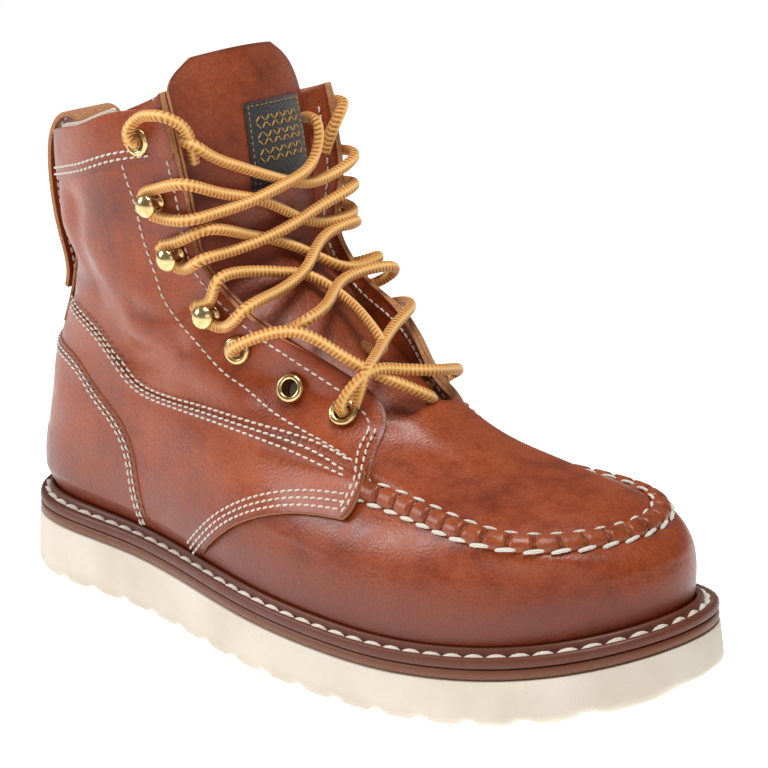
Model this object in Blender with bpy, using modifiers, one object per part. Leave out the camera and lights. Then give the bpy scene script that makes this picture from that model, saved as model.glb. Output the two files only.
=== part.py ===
"""Wedge sole work boot, right foot: moc toe, lace-up, six-inch shaft, standing empty on its sole.

Frame: metres, +Z up, toe towards +X, the outer side of the foot towards -Y.
The origin is on the floor, under the middle of the outsole's bounding box.
The tables below are in millimetres and MM turns them into metres.
"""
import math

import bmesh
import bpy
import numpy as np
from mathutils import Vector

MM = 0.001

# Driving dimensions, in millimetres
SOLE_BACK = -153.0
SOLE_FRONT = 153.0
HEEL_THICK = 22.0          # cream wedge under the heel
BALL_THICK = 15.5          # cream wedge from the ball forward
WEDGE_END = 0.72           # share of the length where the wedge has run out
SPRING_START = 45.0        # the sole leaves the floor in front of this
TOE_SPRING = 15.5
TREAD_PITCH = 18.0
TREAD_DEPTH = 1.5
SOLE_FLARE = 1.5
GAP = 0.3                  # clearance between separate pieces
MIDSOLE_TOP = 4.0          # above the cream wedge
WELT_TOP = 8.0
RIB_TOP = 10.4
WALL = 2.4                 # lined leather of the upper
QUARTER_STEP = 1.5         # quarter and shaft lie this proud of the vamp
EDGE_STEP = 2.1            # counter and collar band
OVERLAY = 1.5              # leather of the counter and the band
LACE_RADIUS = 2.3
SIDE = 3.8                 # Y of the boot's long middle line

# Outline of the sole's top edge: end radii, and half widths at 0.067, 0.25, 0.5, 0.75 and 0.933
# of its length
SOLE_ROW = {"back_radius": 29, "front_radius": 40,
            "outer": (31, 38.5, 55.0, 57.0, 38.5), "inner": (32, 34, 33.5, 51.0, 36)}

# Sections of the upper, from the feather line to the collar. Each is a closed slice from the heel to the
# toe side: its back and front points, how far it follows the sole's curve, its end radii and half widths.
SECTIONS = [
    # back x, z     front x, z   curve  radii    outer half widths             inner half widths
    (-146.5, 30.0,  144.0, 37.0, 1.0, 25, 36, (25.2, 32, 49.0, 52.0, 35.0), (28.5, 29.5, 28.5, 45.0, 30)),
    (-147.0, 46.0,  144.2, 50.0, 0.8, 26, 38, (25.2, 34, 49.0, 53.5, 37.5), (29.0, 32.0, 33.0, 46.0, 32.5)),
    (-143.0, 64.0,  140.0, 59.5, 0.4, 26, 42, (24.2, 34, 45.0, 49.5, 37.5), (28.0, 32.5, 36.0, 40.5, 31.5)),
    (-139.5, 80.0,  130.0, 65.0, 0.0, 26, 42, (23.0, 33, 39.5, 40.0, 38.0), (26.5, 32, 35.5, 24.5, 27.5)),
    (-137.5, 87.0,  116.0, 71.0, 0.0, 24, 28, (22.8, 32, 38.0, 34.0, 22), (25, 31, 35.5, 22.5, 16.5)),
    (-135.0, 94.0,  94.0, 75.5, 0.0, 23, 20, (22.0, 32, 37.0, 31.0, 17), (24, 31, 36.0, 23.5, 14.5)),
    (-131.5, 102.0, 68.0, 81.0, 0.0, 22, 18, (21.5, 32, 37.0, 30.0, 16), (22, 31, 36.5, 26.0, 15)),
    (-127.0, 113.0, 41.0, 91.5, 0.0, 22, 18, (21, 33, 38.0, 29.0, 18.5), (22, 32, 37.5, 28.0, 18.5)),
    (-125.0, 119.5, 28.0, 103.0, 0.0, 23, 24, (21, 34, 38.0, 30.0, 22), (22, 33, 38.0, 30.0, 22)),
    (-124.0, 127.0, 12.0, 117.0, 0.0, 24, 28, (21, 35, 38.5, 31.0, 24), (22, 34, 38.5, 32.0, 24.5)),
    (-126.0, 140.0, -6.0, 137.0, 0.0, 27, 32, (22, 36, 40.0, 35.5, 26), (23, 35, 40.0, 35.5, 26)),
    (-127.2, 155.0, -14.0, 161.0, 0.0, 32, 40, (21.5, 36, 42.0, 39.5, 30), (24, 37, 42.0, 39.0, 30)),
    (-127.0, 171.0, -22.0, 198.5, 0.0, 36, 44, (21.5, 36, 43.5, 40.5, 31), (25, 38, 43.5, 40.0, 31)),
]
SEAM_ROW = 3               # the moc seam runs along this section

# Side views (x, z) of the upper's edges. The rim has a line for each side, and the others are cut
# straight through both.
RIM_LINES = {
    "outer": [(-145, 169.5), (-129, 171), (-99, 179), (-78, 185), (-62, 190), (-46, 197), (-30, 200)],
    "inner": [(-145, 169.5), (-129, 171), (-99, 177), (-78, 180.5), (-62, 184), (-46, 188), (-30, 190)],
}
THROAT_LINE = [(-44, 198), (-40.5, 185), (-36.5, 168), (-34.8, 157), (-33, 137), (-26, 127.6),
               (-16, 120), (-1, 113.4), (10.6, 108), (22.8, 100), (29, 95.2), (34, 91.3), (40, 91.6)]
QUARTER_FRONT = [(37, 97), (37.6, 86.5), (40, 80), (42.6, 73), (42.8, 66), (41.5, 61.5), (38.5, 59.9)]
QUARTER_LOW = [(38.5, 59.9), (19, 58.4), (5, 55), (-14, 46.2), (-28, 35.5), (-37, 27), (-42, 18)]
COUNTER_LINE = [(-152, 99), (-129, 92), (-113, 88.5), (-98.5, 80.5), (-83, 71.4), (-74, 60), (-70, 41.5),
                (-66, 28), (-64, 18)]
BAND_LINE = [(-150, 146), (-120, 154.5), (-100, 160), (-81, 165.2), (-65, 170), (-48, 173.5), (-20, 178)]

# The tongue's middle line: x, z, half width, how far its edges curl back, and its lean to the inner side
TONGUE_ROWS = [(58, 79.4, 11, 1.5, 0), (49, 83.2, 12.5, 2.2, 0), (40, 87.0, 14.5, 3.4, 0),
               (29, 93.4, 17, 4.8, 0), (11, 104.6, 22, 7.5, 0), (-5.8, 116.5, 26, 9.5, 0),
               (-15.5, 125, 28, 10.5, 0), (-24.3, 133.2, 29, 11, 0), (-28.7, 142, 30, 11, 0),
               (-29.8, 153, 31, 11, -0.5), (-31.4, 168.5, 32, 10.5, -1.2), (-34.8, 183, 33, 10, -2),
               (-38.2, 195.5, 32.5, 9.5, -2.5), (-41.2, 204, 29, 8, -3), (-43.2, 209, 20, 4, -3.5)]
TONGUE_THICK = 3.0
LABEL_ROWS = (9.45, 11.5)      # rows of the tongue that the woven label spans
LABEL_ACROSS = (-9.0, 24.0)    # from the tongue's middle line
LABEL_LEAN = 2.2               # sideways for each row up
LABEL_THICK = 0.5

# The pull loop's outer face in the side view, x and z
LOOP_LINE = [(-133.4, 108.5), (-131.9, 114), (-132.2, 120), (-134.8, 129), (-137.6, 141), (-138.6, 153),
             (-138.2, 162), (-135.6, 170.2), (-130.8, 174.9), (-124.8, 175.0), (-121.0, 170.5), (-120.2, 161)]
LOOP_WIDTH = 22.0
LOOP_THICK = 2.2

# Lacing hardware: place around the slice on the outer side, mirrored on the inner one, the section row on
# each side, and how proud the leather under it stands.
FITTINGS = [
    ("eyelet_1", 0.363, 6.47, 6.47, QUARTER_STEP), ("eyelet_2", 0.338, 6.94, 6.94, QUARTER_STEP),
    ("eyelet_3", 0.308, 7.90, 7.90, QUARTER_STEP), ("hook_1", 0.306, 8.90, 8.90, QUARTER_STEP),
    ("hook_2", 0.316, 10.14, 10.14, QUARTER_STEP), ("hook_3", 0.313, 10.99, 10.95, QUARTER_STEP),
    ("eyelet_4", 0.303, 11.70, 11.46, EDGE_STEP),
]
EYELET_OUTER = 5.2
EYELET_INNER = 2.9
HOOK_STEM = 1.6
HOOK_DOME = 4.3

# Lace strands between the facings, each a hand-laid route: height z, and distance from the middle line.
# The ends name a fitting, and above or below it: +1, -1, or 0 for straight over it.
STRANDS = {
    "bar": (("outer", "eyelet_1", 0), [(98, -23), (96.5, -10), (93.5, 9)], ("inner", "eyelet_1", 0)),
    "rise_1": (None, [(97.6, -24), (101.6, -11.7), (105.9, 5), (109, 22)], ("inner", "eyelet_3", 0)),
    "fall_1": (("outer", "eyelet_3", 0),
               [(112.5, -33), (106.4, -25), (100.3, -20), (93.5, -9.7), (90.5, -2)],
               None),
    "rise_2": (None, [(112.5, -25), (113.7, -11), (118, 12), (118, 39)], ("inner", "hook_1", -1)),
    "fall_2": (("outer", "hook_1", 1),
               [(129.2, -39), (129.6, -27), (125.9, -12), (121.6, -0.5), (116.5, 2.5), (109.5, -0.5), (104, -4)],
               None),
    "rise_3": (("outer", "hook_1", -1),
               [(119, -39), (119.8, -22.5), (124.5, 0), (134.8, 20.6), (137, 39)],
               ("inner", "hook_2", -1)),
    "fall_3": (("outer", "hook_2", 1),
               [(150.5, -39), (145, -19), (137.7, -4.5), (126.6, 10.3), (121.5, 20), (123, 39)],
               ("inner", "hook_1", 1)),
    "rise_4": (("outer", "hook_2", -1),
               [(138.7, -42), (139.4, -32.6), (141.5, -13.5), (145.4, 2.6), (149.5, 19), (153.2, 40)],
               ("inner", "hook_3", -1)),
    "fall_4": (("outer", "hook_3", 1),
               [(166.5, -44), (161.9, -31.7), (156.6, -13), (149.5, 2.3), (142, 18), (143, 39)],
               ("inner", "hook_2", 1)),
    "rise_5": (("outer", "hook_3", -1),
               [(155, -42), (155.5, -35), (156.7, -21), (159.9, 0), (166, 17), (176, 22)],
               None),
    "fall_5": (None,
               [(177.3, -35.6), (174.5, -32), (169.3, -22), (162.2, -4), (158.5, 9), (158, 24), (163, 42)],
               ("inner", "hook_3", 1)),
}


# The lace's free ends, from the top eyelet round the facing's edge: shift around, shift up, and lift
LACE_END = [(0.0, 0.0, 4.2), (0.0, 0.12, 4.8), (0.018, 0.25, 3.2), (0.037, 0.25, 3.3), (0.056, 0.22, 2.8),
            (0.068, 0.1, -2.6), (0.064, -0.1, -7.6), (0.052, -0.3, -9.6)]


def spline(knots, values, at, level_ends=True):
    """Smooth curve with continuous curvature through the knots, level or free at its two ends."""
    knots = np.asarray(knots, float)
    values = np.asarray(values, float)
    at = np.asarray(at, float)
    table = values.reshape(len(knots), -1)
    count = len(knots)
    step = np.diff(knots)
    slope = np.diff(table, axis=0) / step[:, None]
    system = np.eye(count)
    right = np.zeros_like(table)
    for i in range(1, count - 1):
        system[i, i - 1:i + 2] = step[i - 1], 2 * (step[i - 1] + step[i]), step[i]
        right[i] = 6 * (slope[i] - slope[i - 1])
    if level_ends:
        system[0, :2] = 2 * step[0], step[0]
        system[-1, -2:] = step[-1], 2 * step[-1]
        right[0] = 6 * slope[0]
        right[-1] = -6 * slope[-1]
    bend = np.linalg.solve(system, right)
    i = np.clip(np.searchsorted(knots, at, side="right") - 1, 0, count - 2)
    t = (at - knots[i])[..., None]
    wide = step[i][..., None]
    result = (table[i] + t * (slope[i] - wide * (2 * bend[i] + bend[i + 1]) / 6)
              + t ** 2 * bend[i] / 2 + t ** 3 * (bend[i + 1] - bend[i]) / (6 * wide))
    return result.reshape(at.shape + values.shape[1:])


def width_knots(length, back_radius, widths, front_radius):
    """Half widths at seven even steps of a half turn, divided by the sine of each step."""
    sines = np.sin(np.pi * np.arange(1, 6) / 6)
    inside = np.asarray(widths, float) / sines
    ends = np.sqrt(np.array([back_radius, front_radius]) * length / 2)
    return np.concatenate((ends[:1], inside, ends[1:]))


def half_turn(around):
    """Side (-1 outer, +1 inner), half-turn share and share of the length for a place around a slice."""
    around = np.asarray(around, float) % 1.0
    side = np.where(around < 0.5, -1.0, 1.0)
    turn = np.where(around < 0.5, 2 * around, 2 - 2 * around)
    return side, turn, (1 - np.cos(np.pi * turn)) / 2


def width_at(turn, knots):
    blend = spline(np.arange(7) / 6, np.eye(7), turn)
    return (blend * knots).sum(-1) * np.sin(np.pi * turn)


def wedge_top(x):
    """Height of the cream wedge's top edge above the floor."""
    share = np.clip((x - SOLE_BACK) / (SOLE_FRONT - SOLE_BACK) / WEDGE_END, 0, 1)
    eased = 0.5 * share + 0.5 * share * share * (3 - 2 * share)
    return HEEL_THICK + (BALL_THICK - HEEL_THICK) * eased + spring(x)


def spring(x):
    return TOE_SPRING * np.clip((x - SPRING_START) / (SOLE_FRONT - SPRING_START), 0, 1) ** 2


def sole_ring(around, inset=0.0):
    """Plan of the sole's top edge, moved inwards by inset (x and y)."""
    length = SOLE_FRONT - SOLE_BACK
    ends = SOLE_ROW["back_radius"], SOLE_ROW["front_radius"]

    def edge(at):
        side, turn, share = half_turn(at)
        outer = width_at(turn, width_knots(length, ends[0], SOLE_ROW["outer"], ends[1]))
        inner = width_at(turn, width_knots(length, ends[0], SOLE_ROW["inner"], ends[1]))
        return np.stack([SOLE_BACK + length * share, SIDE + side * np.where(side < 0, outer, inner)], -1)

    small = 0.001
    along = edge(around + small) - edge(around - small)
    along /= np.linalg.norm(along, axis=-1)[..., None]
    inward = np.stack([-along[..., 1], along[..., 0]], -1)
    return edge(around) + inward * inset


def section_table():
    rows = []
    for back_x, back_z, front_x, front_z, curve, back_radius, front_radius, outer, inner in SECTIONS:
        length = front_x - back_x
        rows.append(np.concatenate(([back_x, back_z, front_x, front_z, curve],
                                    width_knots(length, back_radius, outer, front_radius),
                                    width_knots(length, back_radius, inner, front_radius))))
    return np.array(rows)


SECTION_TABLE = section_table()


def last_surface(around, row):
    """Point of the upper's outer surface. Around runs from the heel by the outer side to the toe and back,
    and row is the section."""
    around, row = np.broadcast_arrays(np.asarray(around, float), np.asarray(row, float))
    columns = spline(np.arange(len(SECTIONS)), SECTION_TABLE, row, level_ends=False)
    side, turn, share = half_turn(around)
    outer = width_at(turn, columns[..., 5:12])
    inner = width_at(turn, columns[..., 12:19])
    x = columns[..., 0] + (columns[..., 2] - columns[..., 0]) * share
    feather_x = SECTIONS[0][0] + (SECTIONS[0][2] - SECTIONS[0][0]) * share
    feather_line = SECTIONS[0][1] + (SECTIONS[0][3] - SECTIONS[0][1]) * share
    sole_curve = wedge_top(feather_x) + WELT_TOP - feather_line
    z = columns[..., 1] + (columns[..., 3] - columns[..., 1]) * share + columns[..., 4] * sole_curve
    return np.stack([x, SIDE + side * np.where(side < 0, outer, inner), z], -1)


def upper_point(around, row, lift=0.0):
    """Point of the upper, moved off its surface by lift."""
    around, row = np.broadcast_arrays(np.asarray(around, float), np.asarray(row, float))
    small = 0.002
    across = last_surface(around + small, row) - last_surface(around - small, row)
    up = last_surface(around, row + 10 * small) - last_surface(around, row - 10 * small)
    normal = np.cross(across, up)
    normal /= np.linalg.norm(normal, axis=-1)[..., None]
    return last_surface(around, row) + normal * np.asarray(lift, float)[..., None]


def upper_normal(around, row):
    out = upper_point(around, row, 1.0) - upper_point(around, row, 0.0)
    return out / np.linalg.norm(out)


def smooth_line(points, steps):
    """Even points on a smooth curve through the given ones."""
    points = np.asarray(points, float)
    reach = np.concatenate(([0], np.cumsum(np.linalg.norm(np.diff(points, axis=0), axis=1))))
    return spline(reach, points, np.linspace(0, reach[-1], steps), level_ends=False)


# Blender helpers

def clear_scene():
    for old in list(bpy.data.objects):
        bpy.data.objects.remove(old)


def new_collection(name):
    collection = bpy.data.collections.new(name)
    bpy.context.scene.collection.children.link(collection)
    return collection


def new_material(name, colour, roughness, metallic=0.0):
    material = bpy.data.materials.new(name)
    material.use_nodes = True
    shader = material.node_tree.nodes["Principled BSDF"]
    shader.inputs["Base Color"].default_value = (*colour, 1.0)
    shader.inputs["Roughness"].default_value = roughness
    shader.inputs["Metallic"].default_value = metallic
    return material


def add_part(name, data, material, collection):
    part = bpy.data.objects.new(name, data)
    if material is not None:
        data.materials.append(material)
    collection.objects.link(part)
    return part


def grid_mesh(name, points, closed_around):
    """Mesh of a grid of points in millimetres, rows first."""
    rows, columns = points.shape[:2]
    mesh = bpy.data.meshes.new(name)
    shape = bmesh.new()
    grid = [[shape.verts.new(Vector(p) * MM) for p in row] for row in points]
    last = columns if closed_around else columns - 1
    for i in range(rows - 1):
        for j in range(last):
            k = (j + 1) % columns
            shape.faces.new((grid[i][j], grid[i][k], grid[i + 1][k], grid[i + 1][j]))
    shape.to_mesh(mesh)
    shape.free()
    mesh.shade_smooth()
    return mesh


def ring_solid(name, rings):
    """Closed solid from rings stacked bottom to top, capped across from the outer to the inner side."""
    count = rings[0].shape[0]
    half = count // 2
    mesh = bpy.data.meshes.new(name)
    shape = bmesh.new()
    stack = [[shape.verts.new(Vector(p) * MM) for p in ring] for ring in rings]
    for low, high in zip(stack, stack[1:]):
        for j in range(count):
            k = (j + 1) % count
            shape.faces.new((low[j], low[k], high[k], high[j]))
    for ring, upward in ((stack[0], False), (stack[-1], True)):
        for j in range(half):
            corners = [ring[j], ring[j + 1], ring[-j - 1], ring[-j]]
            if j == 0:
                corners = [ring[0], ring[1], ring[-1]]
            if j == half - 1:
                corners = [ring[j], ring[j + 1], ring[-j]]
            shape.faces.new(corners if upward else corners[::-1])
    shape.to_mesh(mesh)
    shape.free()
    mesh.shade_smooth()
    mesh.set_sharp_from_angle(angle=math.radians(35))
    return mesh


def thicken(part, thickness):
    """Gives an open sheet its thickness, inwards from the modelled face."""
    solidify = part.modifiers.new("thickness", "SOLIDIFY")
    solidify.thickness = thickness * MM
    solidify.offset = -1.0
    return part


def combine(part, other, operation):
    boolean = part.modifiers.new(operation.lower(), "BOOLEAN")
    boolean.operation = operation
    boolean.solver = "EXACT"
    boolean.object = other
    return part


def hide_cutter(part):
    part.hide_render = True
    part.display_type = "WIRE"
    return part


def side_prism(name, outline, guides, side=None):
    """Cutter with an outline drawn in the side view (x, z), straight across the boot or one side of it."""
    half_width = 90.0 if side is None else 45.0
    past_middle = 1.0
    middle = SIDE + {None: 0.0, "outer": past_middle - half_width, "inner": half_width - past_middle}[side]
    curve = bpy.data.curves.new(name, "CURVE")
    curve.dimensions = "2D"
    curve.fill_mode = "BOTH"
    curve.extrude = half_width * MM
    line = curve.splines.new("POLY")
    line.points.add(len(outline) - 1)
    for point, (x, z) in zip(line.points, outline):
        point.co = (x * MM, z * MM, 0, 1)
    line.use_cyclic_u = True
    flat = bpy.data.objects.new(name + "_curve", curve)
    guides.objects.link(flat)
    flat.rotation_euler = (math.radians(90), 0, 0)
    flat.location = (0, middle * MM, 0)
    return curve_to_mesh(flat, name, guides)


def curve_to_mesh(source, name, collection):
    """Turns a curve object into a closed mesh object with its place applied."""
    bpy.context.view_layer.update()
    evaluated = source.evaluated_get(bpy.context.evaluated_depsgraph_get())
    mesh = bpy.data.meshes.new_from_object(evaluated)
    place = source.matrix_world.copy()
    shape = bmesh.new()
    shape.from_mesh(mesh)
    bmesh.ops.remove_doubles(shape, verts=shape.verts, dist=0.00001)
    bmesh.ops.transform(shape, matrix=place, verts=shape.verts)
    bmesh.ops.recalc_face_normals(shape, faces=shape.faces)
    shape.to_mesh(mesh)
    shape.free()
    bpy.data.objects.remove(source)
    return add_part(name, mesh, None, collection)


def tube(name, points, radius, material, collection, resolution=1):
    """Round cord through points in millimetres, as a closed mesh."""
    curve = bpy.data.curves.new(name, "CURVE")
    curve.dimensions = "3D"
    curve.bevel_depth = radius * MM
    curve.bevel_resolution = resolution
    curve.use_fill_caps = True
    line = curve.splines.new("POLY")
    line.points.add(len(points) - 1)
    for point, place in zip(line.points, points):
        point.co = (*(np.asarray(place) * MM), 1)
    source = bpy.data.objects.new(name + "_curve", curve)
    collection.objects.link(source)
    part = curve_to_mesh(source, name, collection)
    if material is not None:
        part.data.materials.append(material)
    part.data.shade_smooth()
    return part


def turned(name, profile, material, collection, steps):
    """Turned piece about its own Z from a profile of radius and height, outer side running down."""
    mesh = bpy.data.meshes.new(name)
    corners = [(radius * MM, 0, height * MM) for radius, height in profile]
    edges = [(i, i + 1) for i in range(len(corners) - 1)]
    if profile[0][0] > 0:
        edges.append((len(corners) - 1, 0))
    mesh.from_pydata(corners, edges, [])
    part = add_part(name, mesh, material, collection)
    screw = part.modifiers.new("turn", "SCREW")
    screw.steps = steps
    screw.render_steps = steps
    screw.use_merge_vertices = True
    screw.merge_threshold = 0.00001
    screw.use_smooth_shade = True
    return part


def seat(part, around, row, lift):
    """Puts a turned piece on the upper, its axis along the surface's normal."""
    part.location = Vector(upper_point(around, row, lift)) * MM
    part.rotation_euler = Vector(upper_normal(around, row)).to_track_quat("Z", "Y").to_euler()


def bearing_lift(around, row, step, reach):
    """Lift at which a flat foot of this radius clears the curved leather all round."""
    centre = upper_point(around, row, step)
    normal = upper_normal(around, row)
    places = np.linspace(-0.03, 0.03, 25)
    face = upper_point(around + places[:, None], row + places[None, :] * 25, step) - centre
    under = np.linalg.norm(face, axis=-1) < reach + 1.2
    return step + 1.5 * GAP + max(0.0, float((face @ normal)[under].max()))


# The sole

def tread(x):
    """Height of the tread above its lands: flat lands and shallow grooves, right across the sole."""
    phase = np.abs(((x / TREAD_PITCH + 0.5) % 1.0) - 0.5) * TREAD_PITCH
    return TREAD_DEPTH * np.clip((phase - 4.5) / 2.5, 0, 1)


def tread_places():
    """Places around the outline with a point at each corner of the tread."""
    length = SOLE_FRONT - SOLE_BACK
    corners = []
    for k in range(-9, 10):
        for step in (-7.0, -4.5, 4.5, 7.0):
            x = k * TREAD_PITCH + step
            if SOLE_BACK + 1.0 < x < SOLE_FRONT - 1.0:
                corners.append(x)
    share = (np.array(corners) - SOLE_BACK) / length
    turn = np.arccos(1 - 2 * share) / np.pi
    return np.concatenate(([0.0], turn / 2, [0.5], 1 - turn[::-1] / 2))


def outsole(material, collection):
    around = tread_places()
    rings = []
    # inset from the top edge, share of the height, fixed height added, how much of the tread shows
    for inset, share, rise, relief in ((1.2, 0, 0, 1), (-0.6, 0, 0.9, 1), (-SOLE_FLARE, 0, 3.0, 0.7),
                                       (-0.5, 0.8, 0, 0), (0.4, 1, 0, 0)):
        plan = sole_ring(around, inset)
        x = plan[:, 0]
        low = spring(x)
        height = low + (wedge_top(x) - low) * share + rise + relief * tread(x)
        rings.append(np.column_stack([plan, height]))
    return add_part("outsole", ring_solid("outsole", rings), material, collection)


def slab(name, levels, around, material, collection):
    """Solid between rings of the sole's outline, each given as inset and height above the wedge."""
    rings = []
    for inset, height in levels:
        plan = sole_ring(around, inset)
        rings.append(np.column_stack([plan, wedge_top(plan[:, 0]) + height]))
    return add_part(name, ring_solid(name, rings), material, collection)


def midsole(material, collection):
    around = np.arange(56) / 56
    levels = ((1.4, GAP), (0.5, 1.1), (0.5, MIDSOLE_TOP - 1.0), (1.2, MIDSOLE_TOP))
    return slab("midsole", levels, around, material, collection)


def feather(around, outward):
    """Plan of the upper's lower edge, moved outwards."""
    small = 0.001
    along = last_surface(around + small, 0)[..., :2] - last_surface(around - small, 0)[..., :2]
    along /= np.linalg.norm(along, axis=-1)[..., None]
    out = np.stack([along[..., 1], -along[..., 0]], -1)
    return last_surface(around, 0)[..., :2] + out * outward


def welt(material, collection):
    """Ring from the sole's edge to the upper, with a stitch groove and a raised rib against the upper."""
    around = np.arange(56) / 56
    outline = sole_ring(around, 0.3)
    foot = feather(around, GAP + 0.3)
    low = MIDSOLE_TOP + GAP
    # share of the way in to the upper, height above the wedge
    profile = ((0.10, low), (0.0, low + 1.0), (0.0, WELT_TOP - 1.3), (0.14, WELT_TOP - 0.1),
               (0.38, WELT_TOP), (0.48, WELT_TOP - 0.8), (0.56, WELT_TOP - 0.8), (0.62, WELT_TOP + 1.4), (0.74, RIB_TOP),
               (0.88, RIB_TOP - 0.2), (1.0, WELT_TOP + 0.2), (1.0, low))
    loops = []
    for share, height in profile:
        plan = outline + (foot - outline) * share
        loops.append(np.column_stack([plan, wedge_top(plan[:, 0]) + height]))
    loops.append(loops[0])
    mesh = grid_mesh("welt", np.array(loops), True)
    weld = bmesh.new()
    weld.from_mesh(mesh)
    bmesh.ops.remove_doubles(weld, verts=weld.verts, dist=0.00001)
    weld.to_mesh(mesh)
    weld.free()
    mesh.set_sharp_from_angle(angle=math.radians(35))
    return add_part("welt", mesh, material, collection)


def insole(material, collection):
    around = np.arange(56) / 56
    inward = -(WALL + GAP + 0.4)
    low = MIDSOLE_TOP + GAP
    rings = []
    for extra, height in ((0.6, low), (0.0, low + 0.8), (0.0, WELT_TOP - 0.5), (0.8, WELT_TOP)):
        plan = feather(around, inward - extra)
        rings.append(np.column_stack([plan, wedge_top(plan[:, 0]) + height]))
    return add_part("insole", ring_solid("insole", rings), material, collection)


# The upper

COLUMNS = 48
BODY_ROWS = np.concatenate(([0, 0.6, 1.3, 2.1, 3.0], np.arange(3.8, 12, 0.9)))
TOP_ROW = 12.4


def shell(name, lift, thickness, trim, material, collection):
    """Sheet of the upper at a lift, its lower edge run straight down into the welt. Overlays are tucked in
    behind the welt and trimmed, so that no two sheets share an edge."""
    around = np.arange(COLUMNS) / COLUMNS
    rows = []
    for row in np.append(BODY_ROWS, TOP_ROW - 0.1 * trim):
        here = lift * min(1.0, max(0.0, (row - 0.1) / 0.4)) - (0.25 * trim if row < 0.4 else 0.0)
        rows.append(upper_point(around, np.full(COLUMNS, row), np.full(COLUMNS, here)))
    foot = rows[0].copy()
    foot[:, 2] = wedge_top(foot[:, 0]) + MIDSOLE_TOP + GAP + 0.3 * trim
    mesh = grid_mesh(name, np.array([foot] + rows), True)
    return thicken(add_part(name, mesh, material, collection), thickness)


def panel(name, lift, thickness, trim, outline, guides):
    """Overlay of the upper inside an outline drawn in the side view."""
    part = shell(name, lift, thickness, trim, None, guides)
    keep = side_prism(name + "_outline", outline, guides)
    hide_cutter(keep)
    combine(part, keep, "INTERSECT")
    return hide_cutter(part)


def moc_seam(guides):
    """Raised seam around the plug, from under one quarter to the other."""
    around = np.linspace(0.292, 0.708, 36)
    ends = np.clip(np.minimum(around - 0.292, 0.708 - around) / 0.02, 0, 1)
    route = upper_point(around, np.full(36, float(SEAM_ROW)), 0.6 - 0.4 * (1 - ends))
    return hide_cutter(tube("moc_seam", route, 2.3, None, guides))


def upper(material, collection, guides):
    """One hollow leather solid: vamp and plug, quarters, counter and collar band, open at the throat,
    the collar and underneath."""
    body = shell("upper", 0.0, WALL, 0, material, collection)
    behind = [(-190, 5), (-190, 230), (60, 230)]
    quarter_edge = smooth_line(QUARTER_FRONT, 12).tolist() + smooth_line(QUARTER_LOW, 14)[1:].tolist()
    outline = quarter_edge + [(-42, 5)] + behind
    quarter = panel("quarter", QUARTER_STEP, QUARTER_STEP + 0.9, 1, outline, guides)
    heel = [(-64, 5), (-190, 5), (-190, 99)]
    counter = panel("counter", EDGE_STEP, OVERLAY, 2, smooth_line(COUNTER_LINE, 16).tolist() + heel, guides)
    above = [(40, 230), (-190, 230), (-190, 146)]
    band = panel("collar_band", EDGE_STEP, OVERLAY, 2, smooth_line(BAND_LINE, 12).tolist() + above, guides)
    for piece in (quarter, counter, band, moc_seam(guides)):
        combine(body, piece, "UNION")
    throat_edge = smooth_line(THROAT_LINE[:-2], 26).tolist() + THROAT_LINE[-2:]
    throat = side_prism("throat", throat_edge + [(70, 104), (90, 240), (-44, 240)], guides)
    above = [(40, 214), (40, 240), (-30, 240), (-190, 240), (-190, 169.5)]
    rims = [side_prism("rim_" + side, smooth_line(line, 14).tolist() + above, guides, side)
            for side, line in RIM_LINES.items()]
    for cutter in (throat, *rims):
        combine(body, hide_cutter(cutter), "DIFFERENCE")
    for name, around, row, inner_row, step in FITTINGS:
        if not name.startswith("eyelet"):
            continue
        for side, place, row in (("outer", around, row), ("inner", 1 - around, inner_row)):
            hole = turned(f"hole_{side}_{name}", [(0, 6), (EYELET_INNER, 6), (EYELET_INNER, -8), (0, -8)],
                          None, guides, 12)
            seat(hole, place, row, 0.0)
            combine(body, hide_cutter(hole), "DIFFERENCE")
    return body


# Tongue, label and pull loop

def tongue_point(row, across, lift=0.0):
    """Point of the tongue's front face: row of its table, distance from its middle line, and lift."""
    table = np.array(TONGUE_ROWS, float)
    knots = np.arange(len(table))
    small = 0.02
    columns = spline(knots, table, row, level_ends=False)
    ahead = spline(knots, table, row + small, level_ends=False)
    behind = spline(knots, table, row - small, level_ends=False)
    along = (ahead - behind)[..., :2]
    along /= np.linalg.norm(along, axis=-1)[..., None]
    x_out, z_out = along[..., 1], -along[..., 0]
    share = across / columns[..., 2]
    back = columns[..., 3] * share ** 2
    slope = 2 * columns[..., 3] * share / columns[..., 2]
    flat = 1 / np.sqrt(1 + slope ** 2)
    out = lift * flat - back
    return np.stack([columns[..., 0] + x_out * out, SIDE + columns[..., 4] + across + lift * slope * flat,
                     columns[..., 1] + z_out * out], -1)


def tongue(material, collection):
    rows = np.linspace(0, len(TONGUE_ROWS) - 1, 22)
    shares = np.sin(np.linspace(-1, 1, 9) * math.pi / 2)
    widths = spline(np.arange(len(TONGUE_ROWS)), np.array(TONGUE_ROWS, float)[:, 2], rows, level_ends=False)
    points = np.array([tongue_point(np.full(9, row), shares * width) for row, width in zip(rows, widths)])
    part = add_part("tongue", grid_mesh("tongue", points, False), material, collection)
    return thicken(part, TONGUE_THICK)


def tongue_label(material, collection):
    """Plain woven label, sewn beside the tongue's middle line."""
    rows = np.linspace(*LABEL_ROWS, 7)
    across = np.linspace(*LABEL_ACROSS, 6)
    leans = (rows - rows.mean()) * LABEL_LEAN
    points = np.array([tongue_point(np.full(6, row), across + lean, GAP + LABEL_THICK)
                       for row, lean in zip(rows, leans)])
    part = add_part("tongue_label", grid_mesh("tongue_label", points, False), material, collection)
    return thicken(part, LABEL_THICK)


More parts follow.
